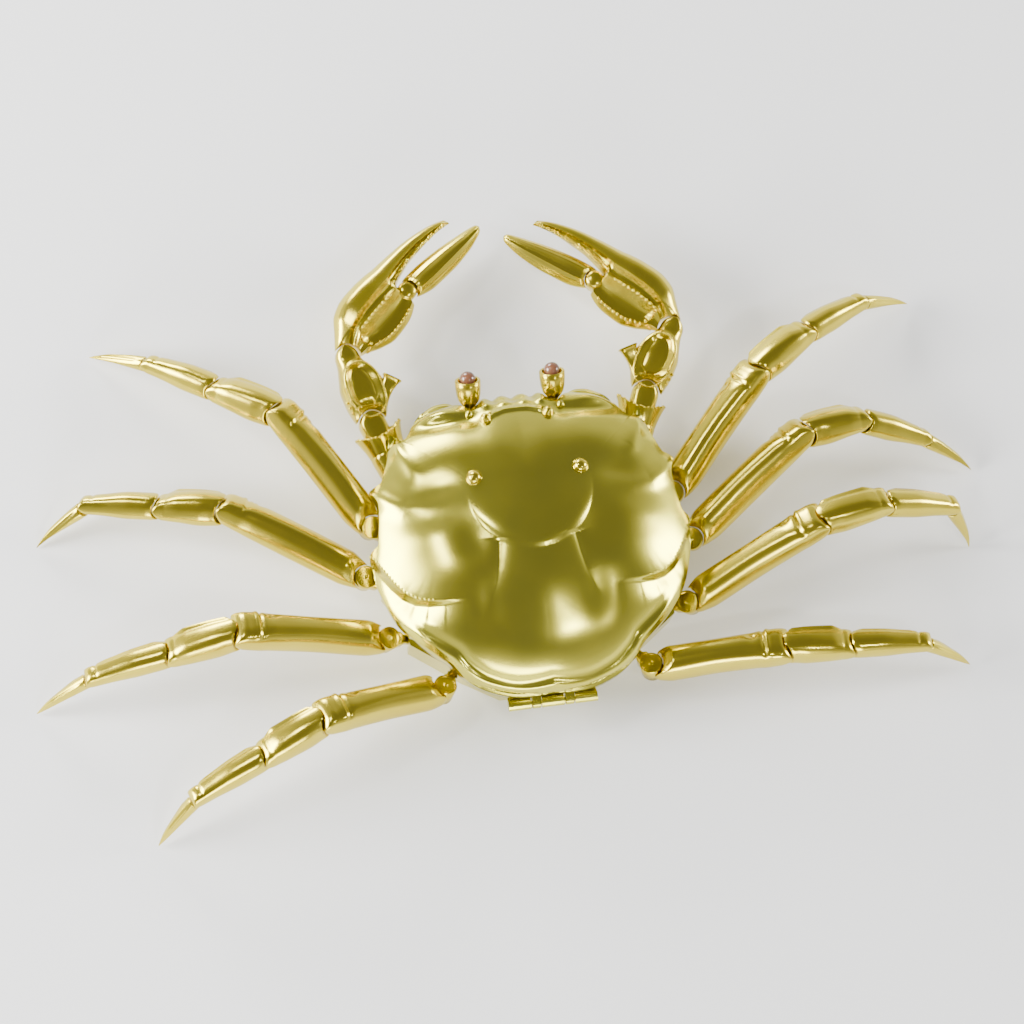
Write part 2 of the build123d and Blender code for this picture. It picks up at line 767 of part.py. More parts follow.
def make_lid():
    lid = dome_outer() - dome_hollow()
    for radius, seat in stud_places():
        lid -= seat.location * round_solid([(0, radius + seat_gap), (2 * radius, radius + seat_gap)])
    for side in (1, -1):
        stem = round_solid([(-eye_stem_length, eye_stem_radius), (0, eye_stem_radius)])
        lid += eye_plane(side).location * stem
    for span in hinge_spans()[1::2]:
        low = (span[0], -hinge_rear, hinge_height)
        high = (span[1], -carapace_half_length + lid_wall, rim_height + lid_wall)
        lid += box_between(low, high) + hinge_barrel(span)
    return lid - hinge_bore()


def make_eye_cup(side):
    cup = round_solid([(0, eye_cup_foot_radius), (eye_cup_length, eye_cup_mouth_radius)])
    floor = eye_cup_length - eye_cup_bore_depth
    hollow = round_solid([(floor, eye_cup_bore_radius), (eye_cup_length + overrun, eye_cup_bore_radius)])
    return eye_plane(side).location * (cup - hollow)


def make_eye_bead(side):
    profile = []
    for angle in bead_profile_angles:
        turn = radians(angle)
        profile.append((eye_bead_radius * sin(turn), eye_bead_radius * cos(turn)))
    seat = eye_cup_length - eye_cup_bore_depth - profile[0][0]
    return eye_plane(side).location * (Pos(0, 0, seat) * round_solid(profile))


def model():
    """Every node by name, as a list of its separate solids."""
    nodes = {
        "base_tub": [make_tub()],
        "abdomen_flap": [make_flap()],
        "hinge_pin": [make_hinge_pin()],
        "carapace_lid": [make_lid()],
        "carapace_studs": make_studs(),
        "eye_cups": [make_eye_cup(side) for side in (1, -1)],
        "eye_beads": [make_eye_bead(side) for side in (1, -1)],
    }
    leg_pieces = ("knuckle", "thigh", "knee", "shin", "toe")
    for side, mirrored, poses in (("left", True, left_leg_angles), ("right", False, right_leg_angles)):
        for index, pose in enumerate(poses):
            tilt = leg_roll_angles[index] - 90
            if mirrored:
                tilt = -tilt
            lengths = leg_lengths[index]
            solids = (make_knuckle(leg_swing_ear), make_thigh(lengths, tilt), make_knee(lengths),
                      make_shin(lengths), make_toe(lengths))
            frames, joints = leg_chain(index, pose)
            for piece, solid, frame in zip(leg_pieces, solids, frames):
                frame = mirror_frame(frame) if mirrored else frame
                nodes[f"{side}_leg_{index + 1}_{piece}"] = [placed(solid, frame)]
    claw_pieces = ("knuckle", "arm", "wrist", "palm", "finger")
    claw_solids = (make_knuckle(claw_swing_ear), make_claw_arm(), make_claw_wrist(), make_claw_palm(),
                   make_claw_finger())
    for side, mirrored, pose in (("left", True, left_claw_angles), ("right", False, right_claw_angles)):
        frames, joints = claw_chain(pose)
        for piece, solid, frame in zip(claw_pieces, claw_solids, frames):
            if mirrored:
                solid, frame = mirror(solid, about=Plane.XY), mirror_frame(frame)
            nodes[f"{side}_claw_{piece}"] = [placed(solid, frame)]
    return nodes


def main():
    os.makedirs("parts", exist_ok=True)
    for name, solids in model().items():
        shape = solids[0] if len(solids) == 1 else Compound(children=solids)
        export_step(shape, f"parts/{name}.step")
        print(name)


main()
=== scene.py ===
import bpy
import json
import numpy as np
from math import cos, pi, radians, sin, tan
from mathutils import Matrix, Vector


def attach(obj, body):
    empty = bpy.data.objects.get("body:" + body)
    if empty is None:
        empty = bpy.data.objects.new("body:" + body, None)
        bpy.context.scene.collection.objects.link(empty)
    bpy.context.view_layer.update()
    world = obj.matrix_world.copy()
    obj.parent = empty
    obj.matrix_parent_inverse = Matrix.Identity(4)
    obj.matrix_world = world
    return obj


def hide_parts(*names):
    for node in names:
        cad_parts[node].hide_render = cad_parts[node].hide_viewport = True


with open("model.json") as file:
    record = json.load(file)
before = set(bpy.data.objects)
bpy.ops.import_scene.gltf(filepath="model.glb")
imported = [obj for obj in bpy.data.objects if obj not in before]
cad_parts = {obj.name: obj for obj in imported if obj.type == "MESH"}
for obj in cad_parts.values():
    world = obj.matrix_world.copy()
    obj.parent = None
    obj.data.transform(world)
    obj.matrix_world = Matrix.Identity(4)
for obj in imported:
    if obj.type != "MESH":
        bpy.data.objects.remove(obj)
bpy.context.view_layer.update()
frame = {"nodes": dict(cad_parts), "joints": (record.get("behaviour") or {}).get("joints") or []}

mm = 0.001


# Nodes and materials

def hexToLinear(text):
    channels = [int(text[i:i + 2], 16) / 255 for i in (1, 3, 5)]
    linear = [c / 12.92 if c <= 0.04045 else ((c + 0.055) / 1.055) ** 2.4 for c in channels]
    return (*linear, 1.0)


def addNode(tree, kind, settings=None, inputs=None):
    node = tree.nodes.new(kind)
    for name, value in (settings or {}).items():
        setattr(node, name, value)
    for name, value in (inputs or {}).items():
        if isinstance(value, bpy.types.NodeSocket):
            tree.links.new(value, node.inputs[name])
        else:
            node.inputs[name].default_value = value
    return node


# Cast brass, satin polished and gilded: soft wide highlights, a faint grain and a tone that drifts
gildedBrass = {
    "tone": "#d4cd52", "deepTone": "#cabd42", "cloudMm": 9.0,
    "roughness": 0.22, "roughnessSpread": 0.06,
    "grainMm": 0.35, "grainDepth": 0.02, "grainReachMm": 0.1,
}

# The limbs, and by default the studs and eye cups, have the same surface with a warmer gold tone: a painted
# warm reflection
paintedWarmReflection = {"tone": "#d8c748", "deepTone": "#ceb738"}


def newMaterial(name):
    material = bpy.data.materials.new(name)
    material.use_nodes = True
    return material, material.node_tree, material.node_tree.nodes["Principled BSDF"]


def newObject(name, data):
    made = bpy.data.objects.new(name, data)
    bpy.context.scene.collection.objects.link(made)
    return made


def makeBrass(name, values):
    material, tree, shader = newMaterial(name)
    place = addNode(tree, "ShaderNodeTexCoord").outputs["Object"]
    cloud = addNode(tree, "ShaderNodeTexNoise", None, {
        "Vector": place, "Scale": 1 / (values["cloudMm"] * mm), "Detail": 2.0})
    tone = addNode(tree, "ShaderNodeMix", {"data_type": "RGBA"}, {
        "Factor": cloud.outputs["Fac"],
        "A": hexToLinear(values["tone"]), "B": hexToLinear(values["deepTone"])})
    tree.links.new(tone.outputs["Result"], shader.inputs["Base Color"])
    grain = addNode(tree, "ShaderNodeTexNoise", None, {
        "Vector": place, "Scale": 1 / (values["grainMm"] * mm), "Detail": 3.0})
    low = values["roughness"] - values["roughnessSpread"] / 2
    rough = addNode(tree, "ShaderNodeMapRange", None, {
        "Value": cloud.outputs["Fac"], "From Min": 0.3, "From Max": 0.7,
        "To Min": low, "To Max": low + values["roughnessSpread"]})
    tree.links.new(rough.outputs["Result"], shader.inputs["Roughness"])
    bump = addNode(tree, "ShaderNodeBump", None, {
        "Strength": values["grainDepth"], "Distance": values["grainReachMm"] * mm,
        "Height": grain.outputs["Fac"]})
    tree.links.new(bump.outputs["Normal"], shader.inputs["Normal"])
    shader.inputs["Metallic"].default_value = 1.0
    return material


# Moulded acrylic, rose-brown and polished: darker towards the bead's edge, with a small sharp highlight
acrylicBead = {
    "tone": "#7c5038", "deepTone": "#3c2014", "edgeBlend": 0.35,
    "roughness": 0.06, "ior": 1.49, "coat": 0.6,
}


def makeAcrylic(values):
    material, tree, shader = newMaterial("acrylicPolishedRose")
    facing = addNode(tree, "ShaderNodeLayerWeight", None, {"Blend": values["edgeBlend"]})
    tone = addNode(tree, "ShaderNodeMix", {"data_type": "RGBA"}, {
        "Factor": facing.outputs["Facing"],
        "A": hexToLinear(values["tone"]), "B": hexToLinear(values["deepTone"])})
    tree.links.new(tone.outputs["Result"], shader.inputs["Base Color"])
    shader.inputs["Roughness"].default_value = values["roughness"]
    shader.inputs["IOR"].default_value = values["ior"]
    shader.inputs["Coat Weight"].default_value = values["coat"]
    return material


satinBrass = makeBrass("brassGildedSatin", gildedBrass)
# same brass with a warmer tone mixed in: a painted warm reflection on the limbs, studs and eye cups
warmReflectionBrass = makeBrass("brassPaintedWarmReflection", dict(gildedBrass, **paintedWarmReflection))
roseAcrylic = makeAcrylic(acrylicBead)
for nodeName, nodeObject in frame["nodes"].items():
    nodeObject.data.materials.clear()
    nodeObject.data.materials.append(roseAcrylic if nodeName == "eye_beads" else satinBrass)
print("materials made")


# Camera, at the photograph's angle: nearly overhead, a little behind and to the crab's left

view = {
    "rearDegrees": 13.0, "leftDegrees": 7.0, "rollDegrees": 8.3,
    "distanceMm": 620.0, "mmPerPixel": 0.195, "imagePixels": 1024,
    "targetMm": (0.0, 0.0, 16.0), "targetPixel": (532.5, 539.0), "sensorMm": 36.0,
    "nearestMm": 10.0,
}


def addCamera(values):
    data = bpy.data.cameras.new("photoCamera")
    camera = newObject("photoCamera", data)
    back = Vector((-tan(radians(values["leftDegrees"])), -tan(radians(values["rearDegrees"])), 1)).normalized()
    forward = (Vector((0, 1, 0)) - back * back.y).normalized()
    across = forward.cross(back)
    turn = radians(values["rollDegrees"])
    up = forward * cos(turn) + across * sin(turn)
    right = up.cross(back)
    place = (Vector(values["targetMm"]) + back * values["distanceMm"]) * mm
    for row in range(3):
        for column, axis in enumerate((right, up, back)):
            camera.matrix_world[row][column] = axis[row]
        camera.matrix_world[row][3] = place[row]
    half = values["imagePixels"] / 2
    data.sensor_width = values["sensorMm"]
    data.lens = values["distanceMm"] / values["mmPerPixel"] / values["imagePixels"] * values["sensorMm"]
    data.shift_x = -(values["targetPixel"][0] - half) / values["imagePixels"]
    data.shift_y = (values["targetPixel"][1] - half) / values["imagePixels"]
    data.clip_start = values["nearestMm"] * mm
    bpy.context.scene.camera = camera


addCamera(view)
print("camera placed")


# Floor, studio boxes and sky

studio = {
    # matt paper: no highlight, and a fibre too faint to see at this distance
    "floorTone": "#fcfcfb", "floorMm": 5000.0, "floorRoughness": 0.7,
    "fibreMm": 10 / 3, "fibreDepth": 0.02, "fibreReachMm": 0.2,
    # the sky's strength low and overhead, and the heights between which it fades
    "skyLow": 1.0, "skyHigh": 0.24, "skyFade": (0.15, 0.75),
    "boxes": (
        # place in mm, width and height in mm, power in watts
        ((200, -300, 560), (36, 40), 0.6),
        ((-330, 180, 560), (120, 80), 1.0),
        ((760, 60, 260), (240, 260), 6.0),
        ((-700, 80, 300), (420, 340), 16.0),
        ((-260, 740, 240), (300, 220), 6.0),
        ((-100, -760, 240), (420, 220), 5.0),
    ),
}


def addFloor(values):
    half = values["floorMm"] * mm / 2
    mesh = bpy.data.meshes.new("floor")
    corners = [(-half, -half, 0), (half, -half, 0), (half, half, 0), (-half, half, 0)]
    mesh.from_pydata(corners, [], [(0, 1, 2, 3)])
    floor = newObject("floor", mesh)
    material, tree, shader = newMaterial("paperMattPale")
    place = addNode(tree, "ShaderNodeTexCoord").outputs["Object"]
    fibre = addNode(tree, "ShaderNodeTexNoise", None, {"Vector": place, "Scale": 1 / (values["fibreMm"] * mm)})
    bump = addNode(tree, "ShaderNodeBump", None, {
        "Strength": values["fibreDepth"], "Distance": values["fibreReachMm"] * mm,
        "Height": fibre.outputs["Fac"]})
    tree.links.new(bump.outputs["Normal"], shader.inputs["Normal"])
    shader.inputs["Base Color"].default_value = hexToLinear(values["floorTone"])
    shader.inputs["Roughness"].default_value = values["floorRoughness"]
    mesh.materials.append(material)


def addSky(values):
    world = bpy.data.worlds.new("studioSky")
    bpy.context.scene.world = world
    world.use_nodes = True
    tree = world.node_tree
    background = tree.nodes["Background"]
    direction = addNode(tree, "ShaderNodeTexCoord").outputs["Generated"]
    height = addNode(tree, "ShaderNodeSeparateXYZ", None, {"Vector": direction}).outputs["Z"]
    level = addNode(tree, "ShaderNodeMapRange", {"interpolation_type": "SMOOTHSTEP"}, {
        "Value": height, "From Min": values["skyFade"][0], "From Max": values["skyFade"][1],
        "To Min": values["skyLow"], "To Max": values["skyHigh"]})
    tree.links.new(level.outputs["Result"], background.inputs["Strength"])
    background.inputs["Color"].default_value = (1, 1, 1, 1)


def addBoxes(values):
    for index, (place, size, power) in enumerate(values["boxes"]):
        data = bpy.data.lights.new(f"studioBox{index}", "AREA")
        data.shape = "RECTANGLE"
        data.size, data.size_y = size[0] * mm, size[1] * mm
        data.energy = power
        lamp = newObject(data.name, data)
        lamp.location = Vector(place) * mm
        lamp.rotation_euler = (-lamp.location).to_track_quat("-Z", "Y").to_euler()


addFloor(studio)
addSky(studio)
addBoxes(studio)
print("studio made")


# Shaping tools: rings of points swept along a piece, in the piece's own directions

def ease(places, values, where):
    # a smooth track through the values, with no overshoot between them
    places, values = np.array(places, float), np.array(values, float)
    steps = np.diff(values) / np.diff(places)
    slopes = np.concatenate([[steps[0]], np.zeros(len(steps) - 1), [steps[-1]]])
    for i in range(1, len(steps)):
        if steps[i - 1] * steps[i] > 0:
            slopes[i] = 2 * steps[i - 1] * steps[i] / (steps[i - 1] + steps[i])
    at = np.clip(np.searchsorted(places, where, "right") - 1, 0, len(steps) - 1)
    gap = places[at + 1] - places[at]
    t = (where - places[at]) / gap
    return ((1 + 2 * t) * (1 - t) ** 2 * values[at] + t * (1 - t) ** 2 * gap * slopes[at]
            + t * t * (3 - 2 * t) * values[at + 1] + t * t * (t - 1) * gap * slopes[at + 1])


def swell(x, middle, width):
    return np.exp(-((x - middle) / width) ** 2)


def turnGap(angle, middle):
    # how far an angle lies from another, either way round
    return np.abs((angle - middle + pi) % (2 * pi) - pi)


def closeRings(rings, startCap=True, endCap=True):
    # quads between rings, and a fan of triangles at each closed end
    count, around = rings.shape[:2]
    points = rings.reshape(-1, 3).tolist()
    faces = []
    for i in range(count - 1):
        for j in range(around):
            k = (j + 1) % around
            faces.append((i * around + j, i * around + k, (i + 1) * around + k, (i + 1) * around + j))
    for wanted, ring, forward in ((startCap, 0, False), (endCap, count - 1, True)):
        if wanted:
            points.append(rings[ring].mean(axis=0).tolist())
            for j in range(around):
                k = (j + 1) % around
                corner = (ring * around + j, ring * around + k, len(points) - 1)
                faces.append(corner if forward else corner[::-1])
    return points, faces


def joinForms(forms):
    points, faces = [], []
    for morePoints, moreFaces in forms:
        start = len(points)
        points += [tuple(p) for p in morePoints]
        faces += [tuple(i + start for i in face) for face in moreFaces]
    return points, faces


def addPiece(name, form, basis, body, nodes, sharp=50, material=warmReflectionBrass):
    # basis is the piece's origin and three directions; a left-handed one turns the faces over
    origin, x, y, z = (np.array(v, float) for v in basis)
    points = origin + np.array(form[0]) @ np.array([x, y, z])
    flip = np.dot(np.cross(x, y), z) < 0
    faces = [face[::-1] if flip else face for face in form[1]]
    mesh = bpy.data.meshes.new(name)
    mesh.from_pydata((points * mm).tolist(), [], faces)
    mesh.shade_smooth()
    mesh.set_sharp_from_angle(angle=radians(sharp))
    mesh.materials.append(material)
    piece = newObject(name, mesh)
    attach(piece, body)
    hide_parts(*nodes)


def beadForm(place, radius, squash=1.0, sides=14, levels=7):
    rings = []
    for i in range(levels):
        lean = pi * (i + 0.5) / levels - pi / 2
        turns = np.arange(sides) * 2 * pi / sides
        rings.append(np.stack([
            place[0] + radius * cos(lean) * np.cos(turns),
            place[1] + radius * cos(lean) * np.sin(turns),
            np.full(sides, place[2] + radius * squash * sin(lean))], axis=1))
    return closeRings(np.array(rings))


def spacedAlong(line, pitch):
    # places at an even pitch along a run of points
    lengths = np.concatenate([[0], np.cumsum(np.linalg.norm(np.diff(line, axis=0), axis=1))])
    count = max(2, int(lengths[-1] / pitch))
    return [np.array([np.interp(at, lengths, line[:, c]) for c in range(3)])
            for at in np.linspace(0, lengths[-1], count + 1)[:-1]]


def beadRow(line, pitch, radius, sides=8):
    return [beadForm(place, radius, 1.0, sides, 5) for place in spacedAlong(line, pitch)]


def turnedForm(profile, axis, start, sides=48):
    # a turned form: places along the axis and radii, about a line through start
    axis = np.array(axis, float) / np.linalg.norm(axis)
    first = np.cross(axis, (0.3, 0.9, 0.1))
    first /= np.linalg.norm(first)
    second = np.cross(axis, first)
    turns = np.arange(sides) * 2 * pi / sides
    circle = np.outer(np.cos(turns), first) + np.outer(np.sin(turns), second)
    return closeRings(np.array([np.array(start) + axis * along + radius * circle for along, radius in profile]))


def squaredTurn(angle, square):
    # the two sides of a rounded section; 2 is an ellipse and more is squarer
    c, s = np.cos(angle), np.sin(angle)
    return np.sign(c) * np.abs(c) ** (2 / square), np.sign(s) * np.abs(s) ** (2 / square)


def hollowDepth(side, radius):
    # how deep a hollow of that radius is, off its middle
    return np.sqrt(np.maximum(radius ** 2 - side ** 2, 0.0))


def limbForm(stations, length, startRadius, endRadius, startTurn=0.0, detail=None, around=72):
    # stations: share of the length, then how far the skin stands out up, down, ahead and behind,
    # in mm, and how square the section is; the start hollows round the joint behind it and
    # the end rounds over the joint ahead
    table = np.array(stations, float)
    angle = (np.arange(around) + 0.5) * 2 * pi / around
    start = [0.0, 0.1, 0.25, 0.45]
    body = np.linspace(0.8, length, max(24, int(length / 0.3)))
    nominal = np.concatenate([start, body])
    rings = []
    blend = min(2.2 * startRadius, 0.6 * length) if startRadius else 1.0
    for x in nominal:
        share = x / length
        up, down, ahead, behind, square = (
            float(ease(table[:, 0], table[:, column], np.array(share))) for column in range(1, 6))
        y, z = squaredTurn(angle, square)
        y = y * np.where(y > 0, up, down)
        z = z * np.where(z > 0, ahead, behind)
        inset = 1 - 0.1 * max(0.0, 1 - x / 0.4) ** 2
        y, z = y * inset, z * inset
        along = np.full(around, x)
        if detail is not None:
            push = detail(along, angle, y, z)
            reach = np.sqrt(y * y + z * z) + 1e-9
            y, z = y * (1 + push / reach), z * (1 + push / reach)
        if startRadius:
            side = y * cos(startTurn) + z * sin(startTurn)
            along = along + hollowDepth(side, startRadius) * max(0.0, 1 - x / blend)
        rings.append(np.stack([along, y, z], axis=1))
    first, last = rings[0], rings[-1]
    caps = []
    if startRadius:
        for share in (0.05, 0.25, 0.45, 0.62, 0.76, 0.87, 0.95):
            ring = first.copy()
            ring[:, 1:] *= share
            side = ring[:, 1] * cos(startTurn) + ring[:, 2] * sin(startTurn)
            ring[:, 0] = hollowDepth(side, startRadius)
            caps.append(ring)
    ends = []
    if endRadius:
        for turn in np.linspace(8, 86, 12):
            ring = last.copy()
            ring[:, 0] = length + endRadius * sin(radians(turn))
            ring[:, 1] = np.clip(last[:, 1], -endRadius * 1.3, endRadius * 1.3) * cos(radians(turn))
            ring[:, 2] *= 1 - 0.12 * (turn / 90) ** 6
            ends.append(ring)
    return closeRings(np.array(caps + rings + ends))


# Joints: where they are in mm, and the directions of the pieces that turn on them

joints = {joint["name"]: joint for joint in frame["joints"]}


def jointPlace(name):
    return np.array(joints[name]["pos_m"]) / mm


def jointAxis(name):
    return np.array(joints[name]["axis"], float)


def unit(vector):
    return vector / np.linalg.norm(vector)


def limbUp(limb):
    # the axis on which a limb swings, turned to point up
    up = jointAxis(f"{limb}_swing")
    return up if up[2] > 0 else -up


def farPoint(node, place):
    # the tip of a claw-like piece: the corner of its solid that lies farthest from its joint
    points = np.array([v.co for v in frame["nodes"][node].data.vertices]) / mm
    return points[np.argmax(np.linalg.norm(points - place, axis=1))]


def knuckleBasis(limb):
    root, swing = jointPlace(f"{limb}_lift"), jointPlace(f"{limb}_swing")
    along = unit(swing - root)
    up = limbUp(limb)
    return (root, along, np.cross(up, along), up), float(np.linalg.norm(swing - root))


rootKnuckle = {
    "discRadiusMm": 2.25, "clawDiscRadiusMm": 2.5, "halfHeightMm": 1.9, "rimMm": 0.35, "rimDepthMm": 0.18,
    # neck: places along it, from the root and then from the disc's edge, with half width and half height
    "neckRootMm": ((-1.4, 0.7, 0.9), (-0.6, 0.88, 1.45), (0.6, 0.88, 1.4), (1.8, 0.88, 1.2)),
    "neckDiscMm": ((-1.0, 0.9, 1.25), (-0.4, 1.4, 1.7), (0.8, 1.6, 1.75)), "neckSquare": 4,
}


def knuckleForm(length, values, radius):
    # a disc with a sunk face and the head of its pin, on a flat neck
    half = values["halfHeightMm"]
    inner = radius - values["rimMm"]
    face = half - values["rimDepthMm"]
    rim = [(face, 0.05), (face, inner - 0.1), (half, inner), (half, radius - 0.12), (half - 0.15, radius)]
    disc = turnedForm([(-at, out) for at, out in rim] + rim[::-1], (0, 0, 1), (length, 0, 0), 64)
    pin = turnedForm([(face - 0.1, 0.5), (face + 0.12, 0.5), (face + 0.2, 0.4), (face + 0.24, 0.05)],
                     (0, 0, 1), (length, 0, 0), 24)
    stations = list(values["neckRootMm"])
    stations += [(length - radius + x, wide, high) for x, wide, high in values["neckDiscMm"]]
    c, s = squaredTurn((np.arange(32) + 0.5) * 2 * pi / 32, values["neckSquare"])
    neck = [np.stack([np.full(32, x), c * wide, s * high], axis=1) for x, wide, high in stations]
    return joinForms([disc, pin, closeRings(np.array(neck))])


# Legs

def legBasis(leg, piece):
    # origin at the piece's joint; along it, out over the bend, and towards the crab's front
    order = ("swing", "knee_fold", "shin_fold", "toe_fold")
    index = ("thigh", "knee", "shin", "toe").index(piece)
    start = jointPlace(f"{leg}_{order[index]}")
    end = farPoint(f"{leg}_toe", start) if piece == "toe" else jointPlace(f"{leg}_{order[index + 1]}")
    along = unit(end - start)
    fold = jointAxis(f"{leg}_knee_fold")
    rise = unit(np.cross(along, fold))
    if rise[2] < 0:
        rise = -rise
    ahead = np.cross(rise, along)
    if ahead[1] < 0:
        ahead = -ahead
    return (start, along, rise, ahead), float(np.linalg.norm(end - start))


upperLeg = {
    # share, up, down, ahead, behind, squareness
    "stations": (
        (0.0, 2.2, 2.2, 1.5, 2.3, 2.4), (0.06, 2.9, 2.7, 2.5, 2.9, 2.4), (0.16, 3.6, 3.2, 3.3, 3.2, 2.5),
        (0.5, 3.7, 3.3, 3.2, 3.0, 2.5), (0.82, 3.5, 3.1, 3.3, 3.3, 2.7), (0.93, 3.1, 2.8, 3.5, 3.5, 3.2),
        (1.0, 2.8, 2.7, 3.5, 3.5, 3.4),
    ),
    "startRadius": 2.45, "endRadius": 2.7,
    # collar and dimple: how far before the end they lie, and their depth; the lip and the seed stand up
    "collarMm": 2.3, "collarDepthMm": 0.3, "lipMm": 0.22,
    "dimpleMm": 4.4, "dimpleDepthMm": 0.55, "seedMm": 0.4,
}

kneePiece = {
    "stations": (
        (0.0, 2.5, 2.5, 3.0, 3.0, 3.0), (0.15, 3.2, 2.9, 3.0, 3.0, 2.8), (0.45, 3.5, 3.1, 3.2, 3.2, 2.6),
        (0.8, 3.2, 2.6, 3.2, 3.1, 2.7), (0.95, 2.7, 2.4, 3.0, 2.9, 3.0), (1.0, 2.4, 2.3, 2.9, 2.8, 3.2),
    ),
    "startRadius": 2.9, "endRadius": 2.35, "crestMm": 0.7, "facetMm": 0.45,
}

shinPiece = {
    "stations": (
        (0.0, 2.2, 2.2, 2.5, 2.5, 2.8), (0.15, 2.7, 2.4, 2.6, 2.6, 2.6), (0.45, 2.8, 2.4, 2.5, 2.5, 2.5),
        (0.8, 2.2, 1.9, 2.1, 2.1, 2.6), (1.0, 1.8, 1.7, 1.9, 1.9, 2.9),
    ),
    "startRadius": 2.55, "endRadius": 1.75, "ridgeMm": 0.25, "dipMm": 0.15, "notchMm": 0.25,
}

toePiece = {
    "stations": (
        (0.0, 1.55, 1.5, 1.4, 1.4, 2.2), (0.25, 1.6, 1.2, 1.3, 1.3, 1.9), (0.6, 1.35, 0.45, 0.85, 0.85, 1.7),
        (0.88, 0.6, 0.0, 0.35, 0.35, 1.7), (1.0, 0.06, 0.06, 0.06, 0.06, 2.0),
    ),
    "startRadius": 1.95, "ridgeMm": 0.2,
}


def upperLegDetail(length, values):
    collar, dimple = length - values["collarMm"], length - values["dimpleMm"]

    def push(x, angle, y, z):
        above = np.maximum(0.0, np.cos(angle - 0.5)) ** 0.5
        groove = -values["collarDepthMm"] * swell(x, collar, 0.35) * above
        lip = values["lipMm"] * swell(x, collar + 0.75, 0.4) * above
        gap = turnGap(angle, 0.55)
        hollow = -values["dimpleDepthMm"] * swell(x, dimple, 1.1) * swell(gap, 0, 0.3)
        seed = values["seedMm"] * swell(x, dimple + 0.35, 0.45) * swell(gap, 0, 0.12)
        return groove + lip + hollow + seed
    return push


def kneeDetail(length, values):
    def push(x, angle, y, z):
        share = x / length
        leaf = np.clip(np.minimum(share - 0.06, 1.0 - share) * 6, 0, 1)
        crest = values["crestMm"] * swell(turnGap(angle, 0.75), 0, 0.16) * leaf * (0.6 + 0.4 * share)
        facet = -values["facetMm"] * swell(turnGap(angle, 1.2), 0, 0.3) * leaf
        return crest + facet
    return push


def shinDetail(length, values):
    def push(x, angle, y, z):
        run = np.clip(np.minimum(x / length - 0.08, 0.96 - x / length) * 8, 0, 1)
        ridge = values["ridgeMm"] * swell(turnGap(angle, 0.9), 0, 0.14) * run
        dip = -values["dipMm"] * swell(turnGap(angle, 1.25), 0, 0.2) * run
        notch = -values["notchMm"] * swell(x, length - 0.9, 0.3) * np.maximum(0, np.cos(angle - 0.6))
        return ridge + dip + notch
    return push


def toeDetail(length, values):
    def push(x, angle, y, z):
        run = np.clip(np.minimum(x / length - 0.05, 1 - x / length) * 5, 0, 1)
        ridges = swell(turnGap(angle, 0.8), 0, 0.15) + swell(turnGap(angle, -0.8), 0, 0.15)
        return values["ridgeMm"] * run * ridges
    return push


legPieces = (
    ("thigh", upperLeg, upperLegDetail), ("knee", kneePiece, kneeDetail),
    ("shin", shinPiece, shinDetail), ("toe", toePiece, toeDetail),
)


def makeLeg(leg):
    basis, length = knuckleBasis(leg)
    node = f"{leg}_knuckle"
    form = knuckleForm(length, rootKnuckle, rootKnuckle["discRadiusMm"])
    addPiece(f"{node}_disc", form, basis, node, [node])
    for piece, values, detail in legPieces:
        basis, length = legBasis(leg, piece)
        turn = 0.0
        if piece == "thigh":  # its start hollows round an upright axis, the others' round their fold
            side = np.cross(limbUp(leg), basis[1])
            turn = np.arctan2(np.dot(side, basis[3]), np.dot(side, basis[2]))
        form = limbForm(values["stations"], length, values["startRadius"], values.get("endRadius"), turn,
                        detail(length, values))
        node = f"{leg}_{piece}"
        addPiece(f"{node}_skin", form, basis, node, [node])


for side in ("left", "right"):
    for index in (1, 2, 3, 4):
        makeLeg(f"{side}_leg_{index}")
print("legs made")


# Carapace: a relief laid over its plan, with a thin edge, a hollow underside and two hinge knuckles

carapace = {
    "halfWidthMm": 31.7, "halfLengthMm": 30.25, "rimMm": 12.0, "edgeMm": 1.5, "topMm": 24.8, "wallMm": 1.2,
    # how full the dome is towards its rim, and how much squarer its front is than an ellipse
    "fullness": 0.58, "frontSquareness": 0.55,
    # edge of one half from the front middle to the rear middle, as shares; each run between
    # two points of teeth or valleys is one smooth line
    "edgeRuns": (
        ((0.0, 0.965), (0.065, 1.0), (0.12, 0.96), (0.175, 0.995), (0.22, 0.94), (0.27, 0.9), (0.33, 0.955),
         (0.42, 0.99), (0.5, 0.975), (0.57, 0.93), (0.64, 0.85), (0.67, 0.79), (0.69, 0.76)),
        ((0.69, 0.76), (0.72, 0.75), (0.785, 0.805)),
        ((0.785, 0.805), (0.805, 0.71), (0.825, 0.62), (0.878, 0.49), (0.953, 0.45)),
        ((0.953, 0.45), (0.915, 0.33), (0.928, 0.18), (0.945, 0.08), (1.0, 0.035)),
        ((1.0, 0.035), (0.995, -0.09), (0.955, -0.26), (0.9, -0.41), (0.79, -0.57), (0.61, -0.74),
         (0.53, -0.84), (0.41, -0.935), (0.28, -0.99), (0.0, -1.0)),
    ),
    "columnDegrees": 0.5, "rows": 170,
    "lobeForwardMm": 8.8, "lobeHalfMm": (12.1, 12.4), "lobeStepMm": 1.2,
    "ridgeDropMm": 2.6, "ridgeCrestMm": 0.5, "creaseMm": 0.5, "arcMm": 0.55,
    "beadMm": 0.3, "beadPitchMm": 0.85, "beadsFromMm": 1.3, "beadsShortMm": 8.5,
    "browBeadMm": 0.8, "browPlaceMm": (9.1, 25.9),
}


